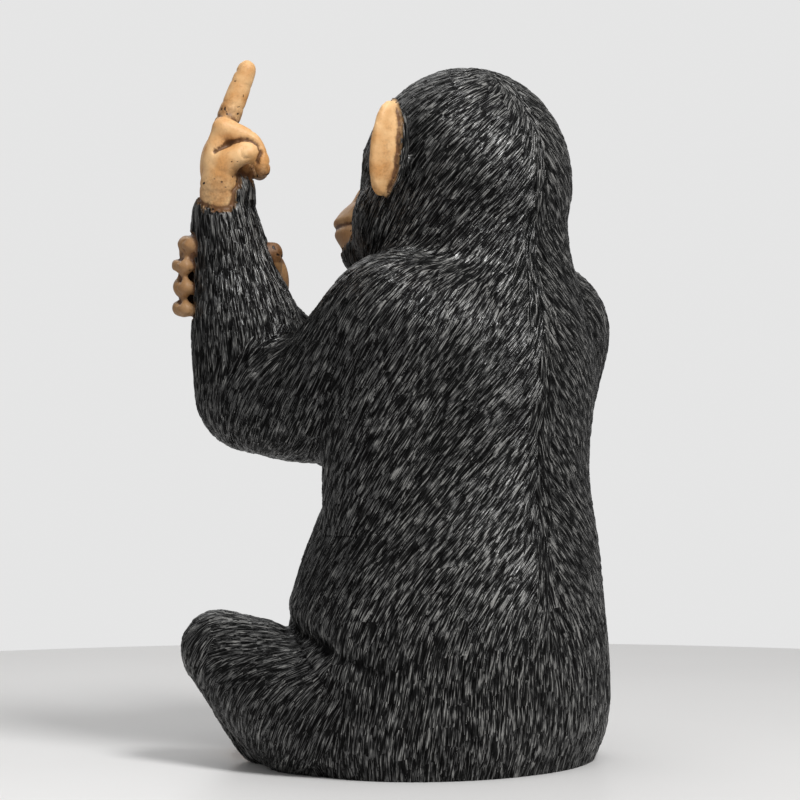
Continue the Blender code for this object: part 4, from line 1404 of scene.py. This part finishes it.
@dataclass(frozen=True)
class PaintedFur:
    """Polyresin cast with carved fur, sprayed charcoal black, dry-brushed grey and sealed with satin varnish.

    The carved strokes give broken streaks of light along the fur's flow. The dry brush leaves grey only on
    the crests of the strokes, and the varnish gives small bright glints. The grey is laid on thicker where
    the crests face the key light, a painted highlight, and the fur is painted darker in its hollows, a
    painted shade.
    """

    groove: str = "#050505"
    body: str = "#161616"
    crest: str = "#2f2f2e"
    # Grey of the dry brush, also the painted highlight on crests that face the key light
    dry_brush_and_highlight: str = "#7b7a77"
    tan: str = "#cd965c"
    tan_light: str = "#e3b884"
    # Darker, browner tan of the holding hand and the face
    tan_darker: str = "#8a6846"
    # Brown of the wash, also used as painted shade in hollows and on the shaded side of the wrist
    wash_and_shade_colour: str = "#5a371c"
    pit: str = "#24150b"
    stroke_pitch: float = 0.60
    stroke_length: float = 7.5
    stroke_depth: float = 0.62
    fur_roughness: float = 0.30
    skin_roughness: float = 0.50

    def build(self) -> bpy.types.Material:
        """The statue's paint: fur and bare skin, parted by the attribute bare."""
        material, tree, shader = new_paint("painted_polyresin_fur_and_skin")
        bare, darker_tan, crest, hollow_shade, soil_and_shade = (
            node(tree, "ShaderNodeAttribute", attribute_name=label).outputs["Fac"]
            for label in ("bare", "darker_tan", "crest", "hollow_shade", "soil_and_shade")
        )
        lay = node(tree, "ShaderNodeAttribute", attribute_name="lay").outputs["Vector"]
        place = node(tree, "ShaderNodeTexCoord").outputs["Object"]
        ridge, fleck = self.strokes(tree, lay)
        fur_colour = self.fur(tree, place, ridge, fleck, crest, hollow_shade)
        skin_colour, skin_height = self.skin(tree, place, hollow_shade, darker_tan, soil_and_shade)
        colours = {"Factor": bare, 6: fur_colour, 7: skin_colour}
        colour = node(tree, "ShaderNodeMix", colours, data_type="RGBA")
        height = node(tree, "ShaderNodeMix", {"Factor": bare, 2: ridge, 3: skin_height}, data_type="FLOAT")
        depth = self.stroke_depth * MILLIMETRE
        bump = node(tree, "ShaderNodeBump", {"Height": height.outputs[0], "Distance": depth})
        limits = {"To Min": self.fur_roughness, "To Max": self.skin_roughness}
        rough = node(tree, "ShaderNodeMapRange", {"Value": bare, **limits})
        open_ridge = node(tree, "ShaderNodeMath", {0: hollow_shade, 1: -0.6, 2: ridge}, operation="MULTIPLY_ADD")
        limits = {"From Min": 0.35, "From Max": 0.8, "To Min": 0.05, "To Max": 0.85}
        sheen = node(tree, "ShaderNodeMapRange", {"Value": open_ridge.outputs[0], **limits})
        gloss = node(tree, "ShaderNodeMix", {"Factor": bare, 2: sheen.outputs[0], 3: 0.35}, data_type="FLOAT")
        ends = (("Base Color", colour, 2), ("Roughness", rough, 0), ("Specular IOR Level", gloss, 0))
        for name, source, output in (*ends, ("Normal", bump, 0)):
            tree.links.new(source.outputs[output], shader.inputs[name])
        return material

    def strokes(self, tree: Tree, lay: Socket) -> tuple[Socket, ...]:
        """Long narrow strokes along the flow: a noise that is stretched twelvefold, with a finer one over it.

        Args:
            tree: The material's tree.
            lay: The place across and along the patch, in millimetres, and the patch's number.

        Returns:
            The height of the strokes from 0 to 1, and flecks that are shorter than the strokes.
        """
        pitch, length = self.stroke_pitch, self.stroke_length
        scales = ((pitch, length), (pitch * 0.5, length * 0.6), (pitch * 1.3, length * 0.3))
        layers = []
        for across, along in scales:
            shrink = {0: lay, 1: (1 / across, 1 / along, 1.0)}
            narrow = node(tree, "ShaderNodeVectorMath", shrink, operation="MULTIPLY")
            grain = {"Vector": narrow.outputs[0], "Scale": 1.0, "Detail": 0.0, "Distortion": 0.25}
            layers.append(node(tree, "ShaderNodeTexNoise", grain).outputs["Fac"])
        coarse = node(tree, "ShaderNodeMapRange", {"Value": layers[0], "From Min": 0.35, "From Max": 0.65})
        fine = node(tree, "ShaderNodeMapRange", {"Value": layers[1], "From Min": 0.3, "From Max": 0.7})
        parts = {"Factor": 0.34, 2: coarse.outputs[0], 3: fine.outputs[0]}
        return node(tree, "ShaderNodeMix", parts, data_type="FLOAT").outputs[0], layers[2]

    def fur(
        self, tree: Tree, place: Socket, ridge: Socket, fleck: Socket, crest: Socket, hollow_shade: Socket
    ) -> Socket:
        """Black in the grooves, charcoal on the strokes, and grey where the dry brush caught the highest.

        The hollows are painted darker as painted shade, and crests that face the key light are painted
        greyer as a painted highlight.
        """
        uneven = node(tree, "ShaderNodeTexNoise", {"Vector": place, "Scale": 45.0, "Detail": 2.0})
        level = ridge
        # Painted shade darkens the fur in hollows. The crest weight also carries a painted highlight where
        # crests face the key light.
        for source, weight in ((crest, 0.30), (fleck, 0.20), (uneven.outputs["Fac"], 0.35), (hollow_shade, -0.75)):
            added = node(tree, "ShaderNodeMath", {0: source, 1: weight, 2: level}, operation="MULTIPLY_ADD")
            level = added.outputs[0]
        share = node(tree, "ShaderNodeMapRange", {"Value": level, "From Min": 0.30, "From Max": 1.52})
        stops = [(0.0, self.groove), (0.44, self.body), (0.74, self.crest), (0.95, self.dry_brush_and_highlight)]
        return shades(tree, share.outputs[0], stops).outputs["Color"]

    def skin(
        self, tree: Tree, place: Socket, hollow_shade: Socket, darker_tan: Socket, soil_and_shade: Socket
    ) -> tuple[Socket, Socket]:
        """Tan skin with a thin brown wash in its creases and pits. The same brown is also painted shade: it is
        laid deeper into hollows, onto the shaded side of the left wrist, the heel of the hand and the raised
        finger's root, so that the high places stay lighter.

        Returns:
            The colour and the height.
        """
        cloud = node(tree, "ShaderNodeTexNoise", {"Vector": place, "Scale": 110.0, "Detail": 3.0})
        grain = node(tree, "ShaderNodeTexNoise", {"Vector": place, "Scale": 900.0, "Detail": 3.0})
        base = shades(tree, cloud.outputs["Fac"], [(0.36, self.tan), (0.64, self.tan_light)])
        darkened = {"Factor": darker_tan, 6: base.outputs["Color"], 7: linear(self.tan_darker)}
        base = node(tree, "ShaderNodeMix", darkened, data_type="RGBA")
        level = grain.outputs["Fac"]
        # Real wash and painted shade together: hollows and the shaded wrist, heel and finger root turn brown
        for source, weight in ((hollow_shade, 1.25), (soil_and_shade, 0.9), (cloud.outputs["Fac"], -0.45)):
            added = node(tree, "ShaderNodeMath", {0: source, 1: weight, 2: level}, operation="MULTIPLY_ADD")
            level = added.outputs[0]
        limits = {"From Min": 0.30, "From Max": 1.35, "To Max": 0.92}
        wash_and_shade = node(tree, "ShaderNodeMapRange", {"Value": level, **limits})
        wash_and_shade_mix = {"Factor": wash_and_shade.outputs[0], 6: base.outputs[2], 7: linear(self.wash_and_shade_colour)}
        washed_and_shaded = node(tree, "ShaderNodeMix", wash_and_shade_mix, data_type="RGBA")
        specks = node(tree, "ShaderNodeTexNoise", {"Vector": place, "Scale": 520.0, "Detail": 0.0})
        stain = {0: soil_and_shade, 1: 0.16, 2: specks.outputs["Fac"]}
        speck = node(tree, "ShaderNodeMath", stain, operation="MULTIPLY_ADD").outputs[0]
        limits = {"From Min": 0.82, "From Max": 0.87}
        pits = node(tree, "ShaderNodeMapRange", {"Value": speck, **limits}).outputs[0]
        holes = {"Factor": pits, 6: washed_and_shaded.outputs[2], 7: linear(self.pit)}
        pitted = node(tree, "ShaderNodeMix", holes, data_type="RGBA")
        height = 0.5
        for source, weight in ((grain.outputs["Fac"], 0.22), (pits, -0.5)):
            added = node(tree, "ShaderNodeMath", {0: source, 1: weight, 2: height}, operation="MULTIPLY_ADD")
            height = added.outputs[0]
        return pitted.outputs[2], height


@dataclass(frozen=True)
class GlossEnamel:
    """Dark brown enamel on the eyes, with a black pupil and a clear gloss coat that catches the light."""

    iris: str = "#4a2a12"
    ring: str = "#1a0f08"
    white: str = "#2a1c14"
    pupil_radius: float = 1.5
    iris_radius: float = 3.1

    def build(self) -> bpy.types.Material:
        """The paint of the eyeballs, by distance from the line of sight in millimetres."""
        material, tree, shader = new_paint("gloss_enamel_eye")
        off = node(tree, "ShaderNodeAttribute", attribute_name="gaze").outputs["Fac"]
        share = node(tree, "ShaderNodeMapRange", {"Value": off, "From Max": 8.0})
        stops = [
            (0.0, "#050404"),
            (self.pupil_radius / 8, "#050404"),
            (self.pupil_radius / 8 + 0.02, self.iris),
            (self.iris_radius / 8, self.ring),
            (self.iris_radius / 8 + 0.03, self.white),
        ]
        colour = shades(tree, share.outputs[0], stops)
        tree.links.new(colour.outputs["Color"], shader.inputs["Base Color"])
        shader.inputs["Roughness"].default_value = 0.12
        shader.inputs["Coat Weight"].default_value = 0.6
        return material


def loop_middles(points: np.ndarray, edges: np.ndarray) -> tuple[np.ndarray, np.ndarray]:
    """Parts open edges into loops.

    Args:
        points: All points.
        edges: Rows of two vertex numbers.

    Returns:
        The number of each edge's loop, and each loop's middle.
    """
    label = np.arange(len(points))
    while True:
        least = np.minimum(label[edges[:, 0]], label[edges[:, 1]])
        fresh = label.copy()
        np.minimum.at(fresh, edges[:, 0], least)
        np.minimum.at(fresh, edges[:, 1], least)
        fresh = fresh[fresh]
        if (fresh == label).all():
            break
        label = fresh
    _, number = np.unique(label[edges[:, 0]], return_inverse=True)
    counts = np.bincount(number)
    middles = [np.bincount(number, points[edges[:, 0], k]) / counts for k in range(3)]
    return number, np.stack(middles, axis=1)


def slab_piece(
    name: str, skin: Skin, normals: np.ndarray, lay: np.ndarray, chosen: np.ndarray
) -> bpy.types.Object:
    """One slab of the skin as a closed object. A fan to its middle, inside the body, closes each open rim.

    Args:
        name: The object's name.
        skin: The dense skin.
        normals: The skin's vertex normals, so that the shading runs on across a seam.
        lay: Stroke coordinates at the face corners.
        chosen: Which faces the slab takes.

    Returns:
        The object.
    """
    used, corners = np.unique(skin.faces[chosen], return_inverse=True)
    corners = corners.reshape(-1, 4)
    points = skin.points[used]
    pairs = np.stack([corners, np.roll(corners, -1, axis=1)], axis=2).reshape(-1, 2)
    keys = pairs[:, 0].astype(np.int64) * len(points) + pairs[:, 1]
    back = pairs[:, 1].astype(np.int64) * len(points) + pairs[:, 0]
    rim = pairs[~np.isin(keys, back)]
    fans = []
    if len(rim):
        number, middles = loop_middles(points, rim)
        fans = np.stack([rim[:, 1], rim[:, 0], len(points) + number], axis=1).tolist()
        points = np.vstack([points, middles])
    mesh = bpy.data.meshes.new(name)
    mesh.from_pydata(points.tolist(), [], corners.tolist() + fans)
    own = np.vstack([normals[used], np.tile(UP, (len(points) - len(used), 1))])
    fill = np.zeros(len(points) - len(used))
    for label in ("bare", "darker_tan", "crest", "hollow_shade", "soil_and_shade"):
        layer = mesh.attributes.new(label, "FLOAT", "POINT")
        layer.data.foreach_set("value", np.concatenate([getattr(skin, label)[used], fill]))
    layer = mesh.attributes.new("lay", "FLOAT_VECTOR", "CORNER")
    layer.data.foreach_set("vector", np.concatenate([lay[chosen].ravel(), np.zeros(len(fans) * 9)]))
    mesh.shade_smooth()
    item = in_scene(bpy.data.objects.new(name, mesh))
    mesh.normals_split_custom_set_from_vertices(own.tolist())
    return item


def seated(skin: Skin) -> None:
    """Lays what is below ground flat on it, so that the underside is level."""
    skin.points[:, 2] = np.maximum(skin.points[:, 2], 0.0)


@dataclass(frozen=True)
class Statue:
    """The whole statue: clay, carving and paint."""

    torso: Torso
    head: Head
    left: LeftArm
    right: RightArm
    legs: tuple[Leg, Leg]

    def clay(self) -> Skin:
        """The masses fused and smoothed, then the hands, ears and feet fused on."""
        forms = self.torso.surfaces() + self.head.surfaces()
        forms += [limb(self.left.upper()), limb(self.left.forearm())]
        forms += [limb(self.right.upper()), limb(self.right.forearm())]
        for leg in self.legs:
            forms += leg.surfaces()
        body = fused(forms, BODY_GRAIN, BODY_SMOOTHING)
        details = self.left.hand() + self.right.hand()
        for side in (-1, 1):
            details += self.head.ear(side)
        for leg in self.legs:
            details += leg.foot()
        whole = fused([body, *details], DETAIL_GRAIN, DETAIL_SMOOTHING)
        return Skin(whole.points, np.array(whole.faces))

    def build(self) -> list[bpy.types.Object]:
        """The carved skin, parted into slabs."""
        fur = Fur(self.torso, self.head, self.left, self.right, self.legs)
        clay = self.clay()
        skin, flow = clay.denser(fur.flow(clay))
        LOG.info("clay: %d points, %d faces", len(skin.points), len(skin.faces))
        sculptor = Sculptor(self.torso, self.head, self.left, self.right, self.legs)
        sculptor.lap(skin)
        sculptor.face(skin)
        sculptor.ears(skin)
        sculptor.hands(skin)
        normals, lay = fur.carve(skin, flow)
        # How far each place is sunk below its evened neighbours. The paint darkens these hollows as painted
        # shade.
        even = skin.spread(skin.points, HOLLOW_ROUNDS)
        sunk = ((even - skin.points) * normals).sum(axis=1)
        skin.hollow_shade = np.clip(sunk / FULL_HOLLOW, 0, 1)
        seated(skin)
        normals = skin.normals()
        height = skin.points[skin.faces][:, :, 2].mean(axis=1)
        made, low = [], -1.0
        for cut in Cut:
            chosen = (height >= low) & (height < cut.value)
            low = cut.value
            made.append(slab_piece(f"statue_{cut.name.lower()}", skin, normals, lay, chosen))
            LOG.info("%s: %d faces", made[-1].name, chosen.sum())
        return made


@dataclass(frozen=True)
class Studio:
    """Pale floor, soft light and the camera at the photo's angle."""

    azimuth: float = math.radians(126.87)
    distance: float = 1.35
    height: float = 0.171
    aside: float = 0.0218
    focal_pixels: float = 2850.0
    image_pixels: float = 800.0
    floor: str = "#e4e3e2"
    floor_dark: str = "#e0dfde"
    floor_radius: float = 0.66
    sky: str = "#f4f4f4"
    sky_light: float = 0.34
    sky_seen: float = 0.87
    sensor_width: float = 36.0
    # Name, azimuth and elevation in degrees, distance, size and watts
    lights: tuple[tuple[str, float, float, float, float, float], ...] = (
        ("key", 158, 47, 1.6, 0.45, 24),
        ("fill", 70, 30, 1.8, 1.0, 2),
        ("front", -30, 35, 1.8, 1.2, 6),
        ("top", 126, 80, 1.6, 1.0, 6),
    )

    def build(self) -> None:
        """The floor, the lamps, the world and the camera."""
        self.stage_floor()
        self.lamps()
        self.world()
        self.camera()

    def stage_floor(self) -> None:
        """A level disc. Its rim is a circle, so that its far edge crosses the picture as a table's does."""
        angle = np.linspace(0, 2 * math.pi, 192, endpoint=False)
        wide = self.floor_radius
        ring = np.stack([wide * np.cos(angle), wide * np.sin(angle), 0 * angle], axis=1)
        mesh = bpy.data.meshes.new("floor")
        mesh.from_pydata(ring.tolist(), [], [list(range(len(ring)))])
        material, tree, shader = new_paint("satin_white_table_lacquer")
        place = node(tree, "ShaderNodeTexCoord").outputs["Object"]
        cloud = node(tree, "ShaderNodeTexNoise", {"Vector": place, "Scale": 3.0, "Detail": 3.0})
        colour = shades(tree, cloud.outputs["Fac"], [(0.3, self.floor_dark), (0.7, self.floor)])
        tree.links.new(colour.outputs["Color"], shader.inputs["Base Color"])
        shader.inputs["Roughness"].default_value = 0.38
        mesh.materials.append(material)
        item = in_scene(bpy.data.objects.new("floor", mesh))

    def lamp(
        self, name: str, azimuth: float, elevation: float, distance: float, size: float, watts: float
    ) -> None:
        """A square soft lamp that faces the statue's middle from a direction in degrees, as for a view."""
        a, e = math.radians(azimuth), math.radians(elevation)
        back = np.array((math.sin(a) * math.cos(e), -math.cos(a) * math.cos(e), math.sin(e)))
        light = bpy.data.lights.new(name, "AREA")
        light.size = size
        light.energy = watts
        item = in_scene(bpy.data.objects.new(name, light))
        item.location = back * distance + np.array((0, 0, 0.17))
        item.rotation_euler = (math.pi / 2 - e, 0, a)

    def lamps(self) -> None:
        """A key high to the camera's right, a weak fill from its left, and soft lights in front and above."""
        for row in self.lights:
            self.lamp(*row)

    def world(self) -> None:
        """Pale grey all round. Rays from the camera see it as bright as a white wall, and others less so."""
        world = bpy.data.worlds.new("studio")
        world.use_nodes = True
        tree = world.node_tree
        tree.nodes.clear()
        seen = node(tree, "ShaderNodeLightPath").outputs["Is Camera Ray"]
        limits = {"To Min": self.sky_light, "To Max": self.sky_seen}
        strength = node(tree, "ShaderNodeMapRange", {"Value": seen, **limits})
        sky = node(tree, "ShaderNodeBackground", {"Color": linear(self.sky), "Strength": strength.outputs[0]})
        out = node(tree, "ShaderNodeOutputWorld")
        tree.links.new(sky.outputs[0], out.inputs["Surface"])
        bpy.context.scene.world = world

    def camera(self) -> None:
        """A level camera, set aside so that the statue stands where the photo has it."""
        toward = np.array((math.sin(self.azimuth), -math.cos(self.azimuth), 0))
        right = np.array((-toward[1], toward[0], 0))
        camera = bpy.data.cameras.new("camera")
        camera.sensor_width = self.sensor_width
        camera.lens = self.sensor_width * self.focal_pixels / self.image_pixels
        item = in_scene(bpy.data.objects.new("camera", camera))
        item.location = toward * self.distance - right * self.aside + UP * self.height
        item.rotation_euler = (math.pi / 2, 0, self.azimuth)
        bpy.context.scene.camera = item


def dressed(items: list[bpy.types.Object], material: bpy.types.Material) -> None:
    """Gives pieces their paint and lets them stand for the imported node."""
    for item in items:
        item.data.materials.append(material)
        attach(item, "root")
        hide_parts(NODE)
        LOG.info("%s painted with %s", item.name, material.name)


def main() -> None:
    """Builds the statue, dresses it, and sets the studio round it."""
    logging.basicConfig(level=logging.INFO, format="%(message)s")
    torso, head = Torso(), Head()
    left = LeftArm(torso)
    right = RightArm(torso, left)
    legs = (Leg(1), Leg(-1))
    dressed(Statue(torso, head, left, right, legs).build(), PaintedFur().build())
    dressed(Eyes(head).build(), GlossEnamel().build())
    Studio().build()
    bpy.context.scene.view_settings.view_transform = "Standard"


if __name__ == "__main__":
    main()
